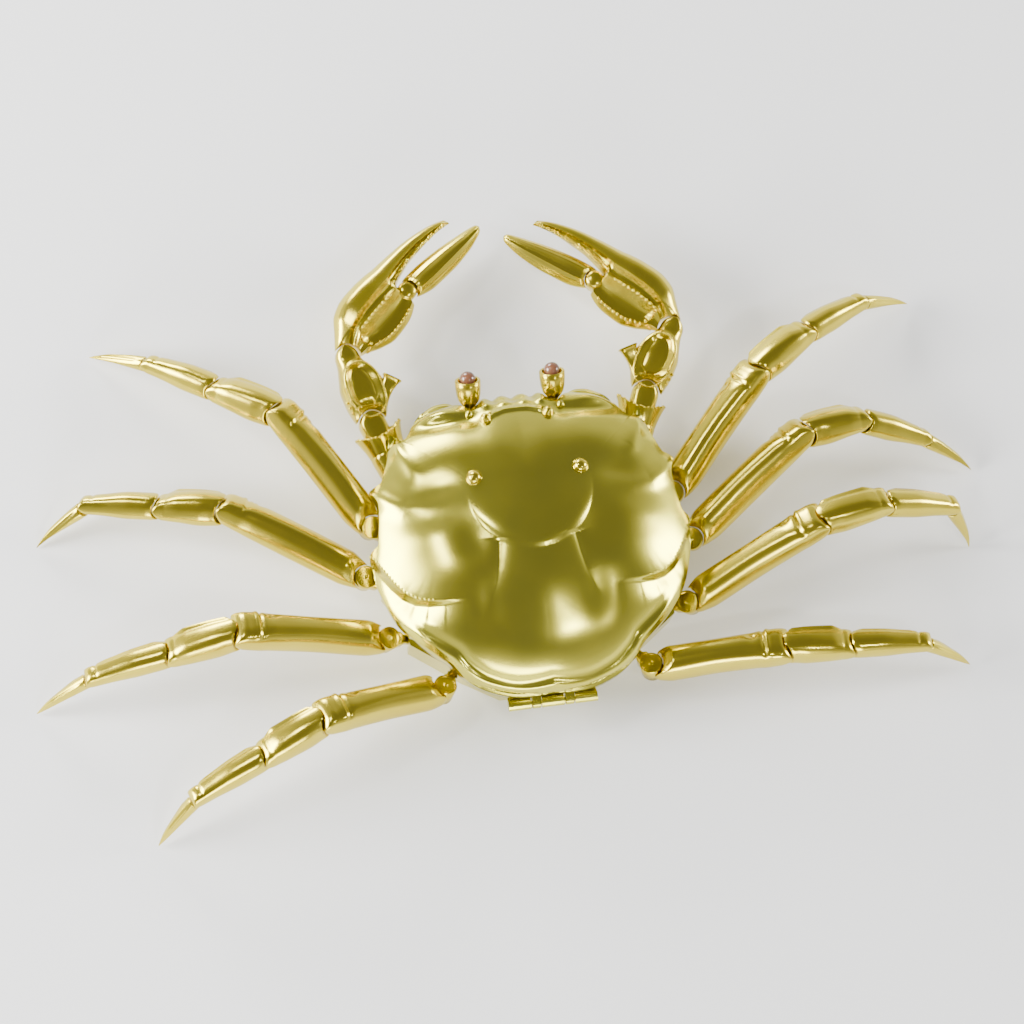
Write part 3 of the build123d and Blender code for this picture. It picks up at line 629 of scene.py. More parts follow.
def edgeReach(values):
    # columns round the plan: angle from the crab's right side, and how far out the edge lies
    angles, reaches = [], []
    for run in values["edgeRuns"]:
        points = np.array(run) * (values["halfWidthMm"], values["halfLengthMm"])
        knots = -np.arctan2(points[:, 1], points[:, 0])
        order = np.argsort(knots)
        lengths = np.hypot(points[:, 0], points[:, 1])
        count = max(3, int(np.ptp(knots) / radians(values["columnDegrees"])))
        where = np.linspace(knots[order][0], knots[order][-1], count + 1)[:-1]
        angles.append(-where)
        reaches.append(ease(knots[order], lengths[order], where))
    right, out = np.concatenate(angles), np.concatenate(reaches)
    rearAngle, rearReach = -pi / 2, values["halfLengthMm"]
    left, leftOut = (pi - right)[1:][::-1], out[1:][::-1]
    return (np.concatenate([right, [rearAngle], left]), np.concatenate([out, [rearReach], leftOut]))


def lineDistance(x, y, points):
    # distance to a run of points, the share of the run that lies nearest, and the side
    best = np.full(x.shape, np.inf)
    share, side = np.zeros(x.shape), np.zeros(x.shape)
    total = len(points) - 1
    for i in range(total):
        (ax, ay), (bx, by) = points[i], points[i + 1]
        dx, dy = bx - ax, by - ay
        t = np.clip(((x - ax) * dx + (y - ay) * dy) / (dx * dx + dy * dy), 0, 1)
        gap = np.hypot(x - ax - t * dx, y - ay - t * dy)
        closer = gap < best
        best = np.where(closer, gap, best)
        share = np.where(closer, (i + t) / total, share)
        side = np.where(closer, dx * (y - ay) - dy * (x - ax), side)
    return best, share, np.sign(side)


def soften(low, high, value):
    t = np.clip((value - low) / (high - low), 0, 1)
    return t * t * (3 - 2 * t)


# runs over the right half of the cover, mirrored on the left, as places across and along in mm
wallRidge = ((32.4, 1.6), (31.0, -0.4), (29.7, -3.0), (28.0, -6.0), (26.2, -8.4), (24.2, -9.9), (22.0, -10.7),
             (19.0, -11.2), (15.5, -11.4), (12.0, -11.4))
heartLine = ((7.4, -1.0), (7.7, -3.2), (8.1, -6.0), (8.8, -9.2), (10.2, -12.2), (12.4, -15.8))
frontArc = ((0.0, 26.0), (2.5, 25.8), (4.4, 25.2), (6.0, 24.2), (7.4, 23.4))
toothCrests = (
    # run inward from a tooth, height and half width in mm
    (((25.1, 24.6), (23.8, 20.0), (21.8, 15.5), (19.5, 13.0)), 1.5, 1.5),
    (((30.3, 12.9), (27.2, 9.8), (24.5, 8.0), (20.5, 7.2), (16.0, 7.4)), 0.9, 1.7),
)
swells = (
    # place, radius across and along, rise, all in mm
    ((0.0, 11.0), (9.0, 8.0), 0.7), ((17.0, -6.5), (8.5, 7.0), 1.1), ((20.0, 1.5), (5.0, 3.0), 0.3),
    ((14.0, 18.0), (6.5, 4.0), 0.4), ((0.0, -10.5), (7.0, 8.0), 0.9), ((13.0, -19.0), (7.5, 5.5), 0.5),
    ((0.0, -22.5), (8.0, 5.0), 0.5), ((4.8, 18.6), (4.0, 4.5), 0.3), ((12.0, -0.5), (3.5, 4.0), -0.5),
    ((9.0, 24.6), (2.6, 2.2), -0.8), ((17.5, 11.0), (4.0, 2.6), -0.4), ((10.5, -13.5), (2.5, 5.0), -0.4),
)
frontSwells = (
    # the same for the forms along the front edge
    ((15.8, 27.4), (4.6, 1.7), 1.3), ((15.2, 24.4), (5.0, 1.5), -0.8), ((2.05, 29.0), (1.2, 1.7), 1.3),
    ((5.5, 28.6), (1.2, 1.7), 1.3), ((0.0, 28.6), (0.9, 1.6), -0.3), ((3.8, 28.4), (0.8, 1.6), -0.3),
)


def carapaceHeight(x, y, values):
    x = np.abs(x)
    power = 2 + values["frontSquareness"] * soften(-6.0, 14.0, y)
    out = ((x / values["halfWidthMm"]) ** power + (np.abs(y) / values["halfLengthMm"]) ** power) ** (1 / power)
    out = np.minimum(1.0, out)
    edge = values["rimMm"] + values["edgeMm"]
    height = edge + (values["topMm"] - edge) * (1 - out ** 2) ** values["fullness"]
    near = 1 - soften(0.86, 1.0, out)
    for (cx, cy), (rx, ry), rise in swells:
        height = height + rise * np.exp(-((x - cx) / rx) ** 2 - ((y - cy) / ry) ** 2) * near
    for (cx, cy), (rx, ry), rise in frontSwells:
        height = height + rise * np.exp(-((x - cx) / rx) ** 2 - ((y - cy) / ry) ** 2)
    # side wall: a steep drop outside the beaded ridge, easing towards the rim
    gap, share, side = lineDistance(x, y, wallRidge)
    fade = (1 - soften(0.5, 0.95, share)) * (1 - soften(5.0, 9.0, gap))
    wall = -values["ridgeDropMm"] * soften(0.0, 0.9, gap) * (1 - 0.7 * soften(0.0, 6.0, gap))
    crest = values["ridgeCrestMm"]
    height = height + fade * np.where(side > 0, wall + crest, crest * np.exp(-gap / 1.6))
    # stomach lobe: it rises towards its rear edge, which stands over a narrow groove
    forward, (halfAcross, halfAlong) = values["lobeForwardMm"], values["lobeHalfMm"]
    inside = (1 - np.hypot(x / halfAcross, (y - forward) / halfAlong)) * halfAlong
    behind = soften(-0.2, 0.75, (forward - y) / halfAlong)
    rounded = 1 - 0.4 * np.exp(-np.maximum(inside, 0) / 0.9)
    foot = 0.5 * np.exp(np.minimum(inside, 0) / 5.5)
    edgeOver = soften(-0.22, 0.0, inside)
    height = height + values["lobeStepMm"] * behind * (rounded * edgeOver + foot * (1 - edgeOver))
    # creases that run rearward from the lobe, sharpest at its edge
    gap, share, side = lineDistance(x, y, heartLine)
    fade = soften(0.0, 0.06, share) * (1 - soften(0.35, 1.0, share))
    height = height - values["creaseMm"] * fade * np.exp(-gap / 1.3)
    # teeth and the arc behind the eyes
    for points, rise, wide in toothCrests:
        gap, share, side = lineDistance(x, y, points)
        height = height + rise * np.exp(-(gap / wide) ** 2) * (1 - share) ** 1.5
    gap, share, side = lineDistance(x, y, frontArc)
    height = height + values["arcMm"] * np.exp(-(gap / 0.55) ** 2) * (1 - soften(0.8, 1.0, share))
    # the front edge dips between the eyes
    return height - 0.9 * soften(27.2, 28.6, y) * (1 - soften(6.8, 8.4, x))


def heightAt(x, y, values):
    return float(carapaceHeight(np.array(x), np.array(y), values))


hinge = {"wideMm": 4.4, "narrowMm": 1.75, "gapMm": 0.2, "barrelMm": 1.1, "roundMm": 0.15, "leafMm": 2.4}


def hingeLug(middle, width, values, rim):
    # a rolled knuckle and the leaf that joins it to the lid
    _, y, z = jointPlace("lid_hinge")
    half, radius, soft = width / 2 - 0.02, values["barrelMm"], values["roundMm"]
    barrel = turnedForm([(-half, 0.5), (-half, radius - soft), (-half + 0.12, radius),
                         (half - 0.12, radius), (half, radius - soft), (half, 0.5)],
                        (1, 0, 0), (middle, y, z), 40)
    plan = ((-1, 0.0), (1, 0.0), (1, values["leafMm"]), (-1, values["leafMm"]))
    corners = [(middle + sx * half, y + dy, height) for height in (z + 0.2, rim + 0.9) for sx, dy in plan]
    faces = [(3, 2, 1, 0), (4, 5, 6, 7), (0, 1, 5, 4), (1, 2, 6, 5), (2, 3, 7, 6), (3, 0, 4, 7)]
    return [barrel, (corners, faces)]


def makeCarapace(values):
    angle, reach = edgeReach(values)
    acrossPlan, alongPlan = reach * np.cos(angle), reach * np.sin(angle)
    shares = np.sin(np.linspace(0.02, 1, values["rows"]) * pi / 2) ** 0.9
    shares = np.concatenate([shares[shares < 0.985], [0.985, 0.993, 0.998, 1.0]])
    rings = []
    # along the rear the edge has a rounded lip; in front, between the eyes, it turns down
    rearness = 1 - soften(-20.0, -13.0, alongPlan)
    for share in shares:
        x, y = share * acrossPlan, share * alongPlan
        z = carapaceHeight(x, y, values)
        inMm = (1 - share) * reach
        lip = rearness * (0.7 * np.exp(-((inMm - 0.9) / 0.75) ** 2) - 0.35 * np.exp(-((inMm - 2.6) / 0.8) ** 2))
        middle = soften(20.0, 24.0, y) * (1 - soften(17.0, 20.0, np.abs(x)))
        turnDown = -0.5 * (1 - soften(0.0, 0.7, inMm)) * middle
        ring = np.stack([x, y, z + lip + turnDown], axis=1)
        ring[:, 2] = np.maximum(ring[:, 2], values["rimMm"] + 0.7)
        rings.append(ring)
    edge = rings[-1].copy()
    edge[:, 2] = values["rimMm"] + 0.35
    edge[:, :2] *= 1.002
    foot = edge.copy()
    foot[:, 2] = values["rimMm"]
    foot[:, :2] *= 0.994
    under = [edge, foot]
    for share in (0.955, 0.93, 0.88, 0.8, 0.7, 0.58, 0.44, 0.3, 0.16, 0.05):
        x, y = share * acrossPlan, share * alongPlan
        z = carapaceHeight(x, y, values) - values["wallMm"] * (1.25 + 1.4 * share ** 4)
        if share > 0.94:
            z = np.full(len(angle), values["rimMm"])
        under.append(np.stack([x, y, np.maximum(z, values["rimMm"])], axis=1))
    form = closeRings(np.array(rings + under))
    forms = [(form[0], [face[::-1] for face in form[1]])]
    line = np.array(wallRidge, float)
    lengths = np.concatenate([[0], np.cumsum(np.hypot(*np.diff(line, axis=0).T))])
    along = np.arange(values["beadsFromMm"], lengths[-1] - values["beadsShortMm"], values["beadPitchMm"])
    browX, browY = values["browPlaceMm"]
    for side in (1, -1):
        for x, y in zip(np.interp(along, lengths, line[:, 0]), np.interp(along, lengths, line[:, 1])):
            forms.append(beadForm((side * x, y, heightAt(x, y, values) - 0.02), values["beadMm"], 1.0, 10, 5))
        brow = (side * browX, browY, heightAt(browX, browY, values) + 0.1)
        forms.append(beadForm(brow, values["browBeadMm"], 0.8))
    for side in (-1, 1):
        middle = side * ((hinge["wideMm"] + hinge["narrowMm"]) / 2 + hinge["gapMm"])
        forms += hingeLug(middle, hinge["narrowMm"], hinge, values["rimMm"])
    return joinForms(forms)


world = ((0, 0, 0), (1, 0, 0), (0, 1, 0), (0, 0, 1))
addPiece("carapaceShield", makeCarapace(carapace), world, "lid", ["carapace_lid"], 40, material=satinBrass)


# Studs and eyes

studs = {
    "largeMm": 1.35, "largePlaceMm": (10.4, 11.7), "smallMm": 0.95, "smallPlaceMm": (6.2, 24.2), "sinkMm": 0.1,
}


def carapaceSlope(x, y, stepX, stepY):
    # rise of the cover over the given step
    return (heightAt(x + stepX, y + stepY, carapace) - heightAt(x - stepX, y - stepY, carapace)) / 2


def makeStuds(values):
    forms = []
    for size in ("large", "small"):
        radius, (x, y) = values[f"{size}Mm"], values[f"{size}PlaceMm"]
        z = heightAt(x, y, carapace) - values["sinkMm"]
        for side in (1, -1):
            profile = [(-0.3, radius * 1.14), (0.3, radius * 1.14), (0.38, radius * 1.08), (0.38, radius)]
            profile += [(0.38 + radius * 0.8 * sin(t), radius * cos(t)) for t in np.linspace(0.12, 1.5, 9)]
            across = carapaceSlope(x, y, 1.0, 0.0) * side
            axis = (-across, -carapaceSlope(x, y, 0.0, 1.0), 1.0)
            forms.append(turnedForm(profile, axis, (side * x, y, z), 40))
    return joinForms(forms)


addPiece("domedStuds", makeStuds(studs), world, "lid", ["carapace_studs"])

eyes = {
    "spreadMm": 8.4, "forwardMm": 28.9, "heightMm": 14.6, "leanDegrees": 38.0,
    "cupMm": 5.2, "footMm": 1.15, "mouthMm": 2.55, "boreMm": 1.95, "beadMm": 1.6,
}


def makeEye(side, values):
    lean = radians(values["leanDegrees"])
    start = np.array((side * values["spreadMm"], values["forwardMm"], values["heightMm"]))
    axis = np.array((0, cos(lean), sin(lean)))
    length, mouth, bore = values["cupMm"], values["mouthMm"], values["boreMm"]
    # a goblet on a short stem, with a groove and a ring below its mouth
    stem = [(-1.2, 0.9), (-0.7, 0.95), (-0.4, values["footMm"]), (0.2, 1.6), (1.0, 2.1), (2.2, 2.4),
            (3.8, mouth)]
    rim = [(-0.7, mouth - 0.02), (-0.5, mouth - 0.12), (-0.4, mouth), (-0.25, mouth), (-0.05, mouth - 0.1),
           (0.0, mouth - 0.25), (-0.1, bore + 0.05), (-0.4, bore), (-1.5, bore - 0.15), (-1.6, 0.1)]
    cup = turnedForm(stem + [(length + at, out) for at, out in rim], axis, start, 56)
    seat = start + axis * (length + 0.1)
    levels = np.linspace(-1.5, 1.5, 22)
    bead = turnedForm([(values["beadMm"] * sin(t), values["beadMm"] * cos(t)) for t in levels], axis, seat, 48)
    return cup, bead


cups, beads = zip(*(makeEye(side, eyes) for side in (1, -1)))
addPiece("eyeCups", joinForms(cups), world, "lid", ["eye_cups"])
addPiece("eyeBeads", joinForms(beads), world, "lid", ["eye_beads"], material=roseAcrylic)
print("carapace, studs and eyes made")


# Claws: arm with a flared cup, wrist with a sunk panel and a horn, palm and finger.
# Each piece is built along its length, across it towards the crab's middle, and up.

sectionSteps, stepMm = 12, 0.25


def keyedForm(places, keys, creases, startRadius, detail=None):
    # keys: tracks across and up for each point of the section; creased points make ridges
    where = np.arange(places[0], places[-1] + stepMm / 2, stepMm)
    where[-1] = places[-1]
    tracks = np.array([[ease(places, row, where) for row in key] for key in keys])
    count = len(keys)
    rings = []
    for i, x in enumerate(where):
        points = tracks[:, :, i]
        ring = []
        for k in range(count):
            here, after = points[k], points[(k + 1) % count]
            before, beyond = points[k - 1], points[(k + 2) % count]
            leave = (after - here) if k in creases else (after - before) / 2
            arrive = (after - here) if (k + 1) % count in creases else (beyond - here) / 2
            for t in np.arange(sectionSteps) / sectionSteps:
                ring.append((1 + 2 * t) * (1 - t) ** 2 * here + t * (1 - t) ** 2 * leave
                            + t * t * (3 - 2 * t) * after + t * t * (t - 1) * arrive)
        ring = np.array(ring)
        ring = np.concatenate([np.full((len(ring), 1), x), ring], axis=1)
        if detail is not None:
            ring = detail(ring)
        rings.append(ring)
    # the start hollows round the joint behind it
    blend = 2.2 * startRadius
    for ring in rings:
        x = ring[0, 0] - places[0]
        ring[:, 0] = ring[:, 0] + hollowDepth(ring[:, 1], startRadius) * max(0.0, 1 - x / blend)
    caps = []
    for share in (0.1, 0.35, 0.6, 0.8, 0.93):
        ring = rings[0].copy()
        ring[:, 1:] *= share
        ring[:, 0] = places[0] + hollowDepth(ring[:, 1], startRadius)
        caps.append(ring)
    return closeRings(np.array(caps + rings))


def clawBasis(claw, piece):
    # origin at the piece's joint; along it, across it towards the crab's middle, and up
    order = ("arm", "wrist", "palm", "finger")
    turns = ("swing", "elbow_turn", "wrist_turn", "finger_open")
    index = order.index(piece)
    start = jointPlace(f"{claw}_{turns[index]}")
    up = limbUp(claw)
    inwardSign = 1 if claw.startswith("right") else -1
    if piece == "finger":
        along = unit(farPoint(f"{claw}_finger", start) - start)
        along = unit(along - up * np.dot(along, up))
    elif piece == "palm":
        # the finger's joint lies ahead and a little inward of the palm's line
        offset = clawPalm["fingerMm"]
        reach = jointPlace(f"{claw}_finger_open") - start
        turn = np.arctan2(offset[1], offset[0])
        side = unit(np.cross(up, reach)) * inwardSign
        along = unit(unit(reach) * cos(turn) - side * sin(turn))
    else:
        along = unit(jointPlace(f"{claw}_{turns[index + 1]}") - start)
    inward = np.cross(up, along) * inwardSign
    return (start, along, inward, up)


clawArm = {
    "lengthMm": 17.1, "startRadius": 2.7, "endRadius": 2.8,
    # share, inward, outward, up, down, squareness
    "stations": (
        (0.0, 2.4, 2.4, 2.1, 2.1, 2.6), (0.15, 3.1, 3.1, 2.6, 2.6, 2.4), (0.4, 3.7, 3.7, 3.0, 3.0, 2.3),
        (0.62, 3.8, 3.8, 3.0, 3.0, 2.3), (0.74, 2.7, 2.7, 2.4, 2.4, 2.6), (1.0, 2.75, 2.75, 2.2, 2.2, 3.4),
    ),
    # cup: where it starts, how far its rim reaches on each side, and its half width and half height
    "cupFromMm": 9.6, "cupTopMm": 14.2, "cupOuterMm": 15.8, "cupInnerMm": 15.6, "cupBottomMm": 14.8,
    "cupHalfMm": (3.7, 2.9), "flareInnerMm": 1.7, "flareOuterMm": 1.0, "flareUpMm": 0.9,
    "cupWallMm": 0.45, "scallopMm": 0.12, "rimBeadMm": 0.3, "rimPitchMm": 0.8,
}


def cupRing(share, turns, values, inset=0.0):
    # one ring of the flared cup; its rim dips back above and below and reaches on at both sides
    c, s = np.cos(turns), np.sin(turns)
    reach = np.where(c > 0, values["cupInnerMm"], values["cupOuterMm"]) * c ** 2
    reach = reach + np.where(s > 0, values["cupTopMm"], values["cupBottomMm"]) * s ** 2
    flare = share ** 1.8
    halfWidth, halfHeight = values["cupHalfMm"]
    wide = halfWidth + np.where(c > 0, values["flareInnerMm"], values["flareOuterMm"]) * flare - inset
    high = halfHeight + values["flareUpMm"] * flare - inset
    x = values["cupFromMm"] + (reach - values["cupFromMm"]) * share
    scallop = values["scallopMm"] * np.cos(16 * turns) * flare
    return np.stack([x + scallop, wide * c, high * s], axis=1)


def makeArm(values):
    body = limbForm(values["stations"], values["lengthMm"], values["startRadius"], values["endRadius"])
    turns = np.arange(144) * 2 * pi / 144
    outer = [cupRing(share, turns, values) for share in np.linspace(0, 1, 22)]
    rim = cupRing(1.0, turns, values, values["cupWallMm"] / 2)
    rim[:, 0] += 0.18
    inner = [cupRing(share, turns, values, values["cupWallMm"]) for share in np.linspace(1, 0.3, 14)]
    cup = closeRings(np.array(outer + [rim] + inner))
    line = cupRing(1.0, np.linspace(0, 2 * pi, 400), values, values["cupWallMm"] / 2)
    return joinForms([body, cup, *beadRow(line, values["rimPitchMm"], values["rimBeadMm"])])


clawWrist = {
    "lengthMm": 14.2, "startRadius": 3.0, "endRadius": 2.6,
    "stations": (
        (0.0, 2.7, 2.7, 2.2, 2.2, 2.8), (0.14, 3.9, 3.2, 2.9, 2.6, 2.6), (0.34, 5.0, 3.7, 3.5, 3.2, 2.6),
        (0.55, 5.2, 3.8, 3.6, 3.3, 2.6), (0.76, 4.1, 3.1, 3.3, 2.9, 2.6), (0.92, 2.8, 2.5, 2.7, 2.4, 2.7),
        (1.0, 2.45, 2.35, 2.3, 2.2, 3.0),
    ),
    # sunk oval panel: middle along and across, half length and half width, and depth
    "panelMm": (7.1, 0.8, 5.6, 3.5), "panelDepthMm": 1.3, "panelSquare": 2.4,
    "rimMm": 0.25, "rimBeadMm": 0.2, "rimPitchMm": 0.42,
    "sideBeads": ((3.4, -3.2, 1.7), (4.5, -3.4, 1.8), (5.6, -3.55, 1.85)), "sideBeadMm": 0.38,
    "hornFootMm": (3.6, 2.9, 0.9), "hornMouthMm": (7.6, 6.9, 1.6), "hornWideMm": (1.5, 1.9),
    "hornHollowMm": 1.6,
}


def ovalShare(x, y, values):
    # 1 on the edge of the sunk panel, less inside it
    middleX, middleY, halfLength, halfWidth = values["panelMm"]
    power = values["panelSquare"]
    u, v = (x - middleX) / halfLength, (y - middleY) / halfWidth
    return (np.abs(u) ** power + np.abs(v) ** power) ** (1 / power)


def wristTop(x, y, values):
    # height of the wrist's upper face before its panel is sunk
    share = x / values["lengthMm"]
    table = np.array(values["stations"])
    inward, outward, high, square = (ease(table[:, 0], table[:, c], share) for c in (1, 2, 3, 5))
    across = np.where(y > 0, y / inward, -y / outward)
    return high * np.maximum(0.0, 1 - np.clip(across, 0, 1) ** square) ** (1 / square)


def makeWrist(values):
    def sink(along, angle, y, z):
        out = ovalShare(along, y, values)
        edge = values["rimMm"] * np.exp(-((out - 1.03) / 0.05) ** 2)
        return np.where(z > 0, edge - values["panelDepthMm"] * (1 - soften(0.84, 0.97, out)), 0.0)

    forms = [limbForm(values["stations"], values["lengthMm"], values["startRadius"], values["endRadius"],
                      0.0, sink, 200)]
    # a row of small beads just outside the panel
    middleX, middleY, halfLength, halfWidth = values["panelMm"]
    c, s = squaredTurn(np.linspace(0, 2 * pi, 300), values["panelSquare"])
    x, y = middleX + halfLength * 1.02 * c, middleY + halfWidth * 1.02 * s
    line = np.stack([x, y, wristTop(x, y, values) + 0.08], axis=1)
    forms += beadRow(line, values["rimPitchMm"], values["rimBeadMm"])
    forms += [beadForm(place, values["sideBeadMm"]) for place in values["sideBeads"]]
    return joinForms([*forms, makeHorn(values)])


def makeHorn(values):
    # a square spout that flares to an open mouth
    foot, mouth = np.array(values["hornFootMm"]), np.array(values["hornMouthMm"])
    axis = unit(mouth - foot)
    side = unit(np.cross(axis, (0, 0, 1)))
    high = np.cross(side, axis)
    turns = (np.arange(64) + 0.5) * 2 * pi / 64
    c, s = np.cos(turns), np.sin(turns)
    square = (np.abs(c) ** 5 + np.abs(s) ** 5) ** (-1 / 5)
    footHalf, mouthHalf = values["hornWideMm"]
    # share of the way from foot to mouth, and half width: the spout, its lip and its hollow
    sizes = []
    for at in np.linspace(-0.25, 0.9, 12):
        waist = footHalf * (1.0 - 0.25 * sin(pi * np.clip(at, 0, 1)))
        sizes.append((at, waist + (mouthHalf - footHalf) * max(at, 0) ** 2.2))
    sizes += [(0.96, mouthHalf + 0.12), (1.0, mouthHalf + 0.02), (1.01, mouthHalf - 0.3),
              (0.95, mouthHalf - 0.42), (1.0 - values["hornHollowMm"] / np.linalg.norm(mouth - foot), 0.7)]
    return closeRings(np.array([
        foot + (mouth - foot) * at + np.outer(half * square * c, side) + np.outer(half * square * s, high)
        for at, half in sizes]))


clawPalm = {
    "fingerMm": (18.3, 2.8), "startRadius": 2.8, "barrelMm": 1.95, "barrelHalfMm": 2.4,
    # places along the palm and its fixed finger, then tracks across it and up
    "placesMm": (0.0, 3.0, 6.0, 9.0, 13.0, 16.9, 17.7, 20.0, 23.0, 27.0, 31.0, 34.0, 35.1),
    "outerMm": (-2.9, -4.9, -6.8, -7.3, -6.8, -5.8, -5.5, -4.9, -4.1, -2.9, -1.2, 0.6, 1.9),
    "ridgeMm": (-1.4, -2.2, -2.9, -3.1, -2.7, -2.1, -2.0, -1.9, -1.6, -0.9, 0.3, 1.6, 2.5),
    "firstRowMm": (0.2, -0.4, -0.8, -0.6, 0.0, 0.6, -0.9, -0.9, -0.7, 0.0, 0.9, 1.9, 2.55),
    "secondRowMm": (1.8, 2.2, 3.6, 4.9, 5.3, 4.8, 0.0, -0.3, -0.4, 0.3, 1.1, 2.0, 2.5),
    "innerMm": (2.0, 2.8, 4.8, 6.1, 6.4, 5.5, 0.5, 0.1, -0.05, 0.55, 1.3, 2.25, 2.7),
    "ridgeHighMm": (2.2, 3.0, 3.7, 4.0, 4.0, 3.6, 3.5, 3.1, 2.6, 2.1, 1.6, 1.1, 0.3),
    "firstHighMm": (2.1, 2.8, 3.2, 3.4, 3.4, 3.1, 2.7, 2.2, 1.9, 1.7, 1.4, 1.0, 0.28),
    "secondHighMm": (1.7, 1.7, 1.7, 1.7, 1.7, 1.6, 1.9, 1.5, 1.3, 1.2, 1.0, 0.75, 0.2),
    "underMm": (2.3, 2.9, 3.4, 3.7, 3.7, 3.3, 3.0, 2.6, 2.2, 1.8, 1.4, 1.0, 0.3),
    # grooves on both sides of the first row, and where the palm ends and its finger starts
    "dipMm": 0.75, "panelDipMm": 0.95, "palmEndMm": 17.3,
    # bead rows along both edges of the panel, joined round its start
    "rowFromMm": 5.4, "rowToMm": 16.0, "rowTurnMm": ((4.7, 0.6, 2.9), (4.6, 1.8, 2.3)),
    "rowBeadMm": 0.42, "rowPitchMm": 0.98, "rowRiseMm": 0.2,
    # small teeth on the fixed finger's biting face, scattered as cast
    "toothMm": 0.32, "toothFromMm": 19.0, "toothToMm": 34.2, "toothPitchMm": 0.62,
    "scatterMm": 0.12, "roughHighMm": 0.16, "roughWideMm": 0.08,
}


def tracksOf(values):
    return {name: np.array(track) for name, track in values.items()
            if name.endswith("Mm") and np.ndim(track) == 1}


def between(tracks, one, other):
    return (tracks[one] + tracks[other]) / 2


def makePalm(values):
    v = tracksOf(values)
    places = v["placesMm"]
    level = np.zeros(len(places))
    onPalm = np.where(places < values["palmEndMm"], 1.0, 0.5)
    panelDip = values["panelDipMm"] * onPalm * np.where(places < 4, 0.3, 1.0) * np.where(places > 33, 0.1, 1.0)
    keys = (
        (v["outerMm"], level),
        (v["outerMm"] * 0.72 + v["ridgeMm"] * 0.28, v["ridgeHighMm"] * 0.66),
        (v["ridgeMm"], v["ridgeHighMm"]),
        (between(v, "ridgeMm", "firstRowMm"),
         between(v, "ridgeHighMm", "firstHighMm") - values["dipMm"] * onPalm),
        (v["firstRowMm"], v["firstHighMm"]),
        (between(v, "firstRowMm", "secondRowMm"), between(v, "firstHighMm", "secondHighMm") - panelDip),
        (v["secondRowMm"], v["secondHighMm"]),
        (v["innerMm"], level),
        (v["innerMm"] * 0.7, -v["underMm"] * 0.6),
        (between(v, "innerMm", "outerMm"), -v["underMm"]),
        (v["outerMm"] * 0.75, -v["underMm"] * 0.68),
    )
    random = np.random.default_rng(7)
    first, last = values["toothFromMm"], values["toothToMm"]

    def roughen(ring):
        x = ring[0, 0]
        amount = soften(first, first + 2, x) * (1 - soften(last - 2, last, x))
        if amount > 0:
            low, high = 4 * sectionSteps - 4, 6 * sectionSteps + 8
            for axis, rough in ((2, values["roughHighMm"]), (1, values["roughWideMm"])):
                ring[low:high, axis] += amount * random.uniform(-rough, rough, high - low)
        return ring

    def rowLine(xs, share):
        # a line over the palm between the first row, at 0, and the second, at 1
        across, high = (ease(places, v[f"first{name}Mm"], xs) * (1 - share)
                        + ease(places, v[f"second{name}Mm"], xs) * share for name in ("Row", "High"))
        return np.stack([xs, across, high], axis=1)

    forms = [keyedForm(places, keys, (2, 4, 6), values["startRadius"], roughen)]
    rows = [rowLine(np.linspace(values["rowFromMm"], values["rowToMm"], 60), share) for share in (0, 1)]
    rows.append(np.array([rows[0][0], *values["rowTurnMm"], rows[1][0]]))
    for row in rows:
        forms += beadRow(row + (0, 0, values["rowRiseMm"]), values["rowPitchMm"], values["rowBeadMm"], 10)
    for share in (0.35, 1.0):
        for place in spacedAlong(rowLine(np.linspace(first, last, 80), share), values["toothPitchMm"]):
            push = random.uniform(-values["scatterMm"], values["scatterMm"], 3)
            forms.append(beadForm(place + push, values["toothMm"] * random.uniform(0.7, 1.1), 1.0, 7, 4))
    # the barrel that the moving finger turns on
    x, y = values["fingerMm"]
    radius, half = values["barrelMm"], values["barrelHalfMm"]
    profile = [(-half, 0.3), (-half, radius - 0.5), (-half + 0.35, radius - 0.05), (-half + 0.6, radius),
               (half - 1.1, radius), (half - 0.5, radius - 0.2), (half - 0.15, radius - 0.7), (half, 0.3)]
    forms.append(turnedForm(profile, (0, 0, 1), (x, y, -0.3), 48))
    return joinForms(forms)


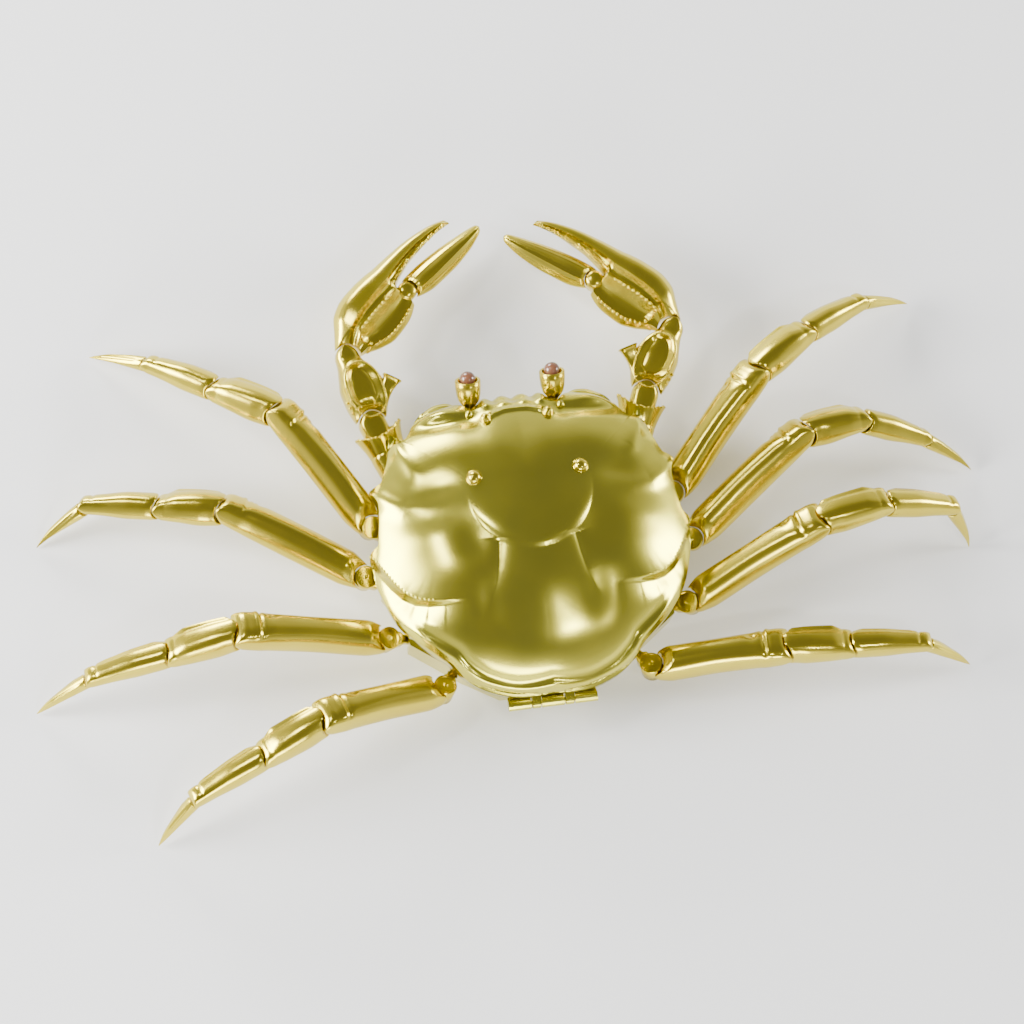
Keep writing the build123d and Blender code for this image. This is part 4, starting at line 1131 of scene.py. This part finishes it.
clawFinger = {
    "startRadius": 2.08,
    # the same kind of tracks: two ridges with a shallow dip between them, and a blunt tip
    "placesMm": (0.0, 1.5, 5.0, 10.0, 15.0, 18.4, 19.9, 20.35),
    "outerMm": (-1.9, -2.2, -2.35, -2.1, -1.5, -1.0, -0.65, -0.15),
    "firstMm": (-0.8, -0.9, -1.0, -0.9, -0.6, -0.35, -0.2, -0.05),
    "secondMm": (0.8, 1.3, 1.4, 1.2, 0.9, 0.55, 0.3, 0.1),
    "innerMm": (1.5, 2.4, 3.1, 3.0, 2.4, 1.5, 0.85, 0.2),
    "firstHighMm": (2.0, 2.4, 2.5, 2.2, 1.7, 1.15, 0.75, 0.12),
    "secondHighMm": (1.9, 2.3, 2.3, 2.0, 1.5, 1.0, 0.65, 0.1),
    "underMm": (2.0, 2.3, 2.3, 2.0, 1.5, 1.0, 0.65, 0.12),
    "dipMm": 0.35,
}


def makeFinger(values):
    v = tracksOf(values)
    level = np.zeros(len(v["placesMm"]))
    taper = v["underMm"] / max(v["underMm"])
    keys = (
        (v["outerMm"], level),
        (between(v, "outerMm", "firstMm") - 0.2 * taper, v["firstHighMm"] * 0.68),
        (v["firstMm"], v["firstHighMm"]),
        (between(v, "firstMm", "secondMm"),
         between(v, "firstHighMm", "secondHighMm") - values["dipMm"] * taper),
        (v["secondMm"], v["secondHighMm"]),
        (between(v, "secondMm", "innerMm") + 0.2 * taper, v["secondHighMm"] * 0.62),
        (v["innerMm"], level),
        (between(v, "innerMm", "outerMm"), -v["underMm"]),
    )
    return keyedForm(v["placesMm"], keys, (2, 4), values["startRadius"])


def makeClaw(claw):
    basis, length = knuckleBasis(claw)
    node = f"{claw}_knuckle"
    form = knuckleForm(length, rootKnuckle, rootKnuckle["clawDiscRadiusMm"])
    addPiece(f"{node}Disc", form, basis, node, [node])
    for piece, make, values in (("arm", makeArm, clawArm), ("wrist", makeWrist, clawWrist),
                                ("palm", makePalm, clawPalm), ("finger", makeFinger, clawFinger)):
        node = f"{claw}_{piece}"
        addPiece(f"{node}Brass", make(values), clawBasis(claw, piece), node, [node], 42)


for claw in ("left_claw", "right_claw"):
    makeClaw(claw)
print("claws made")
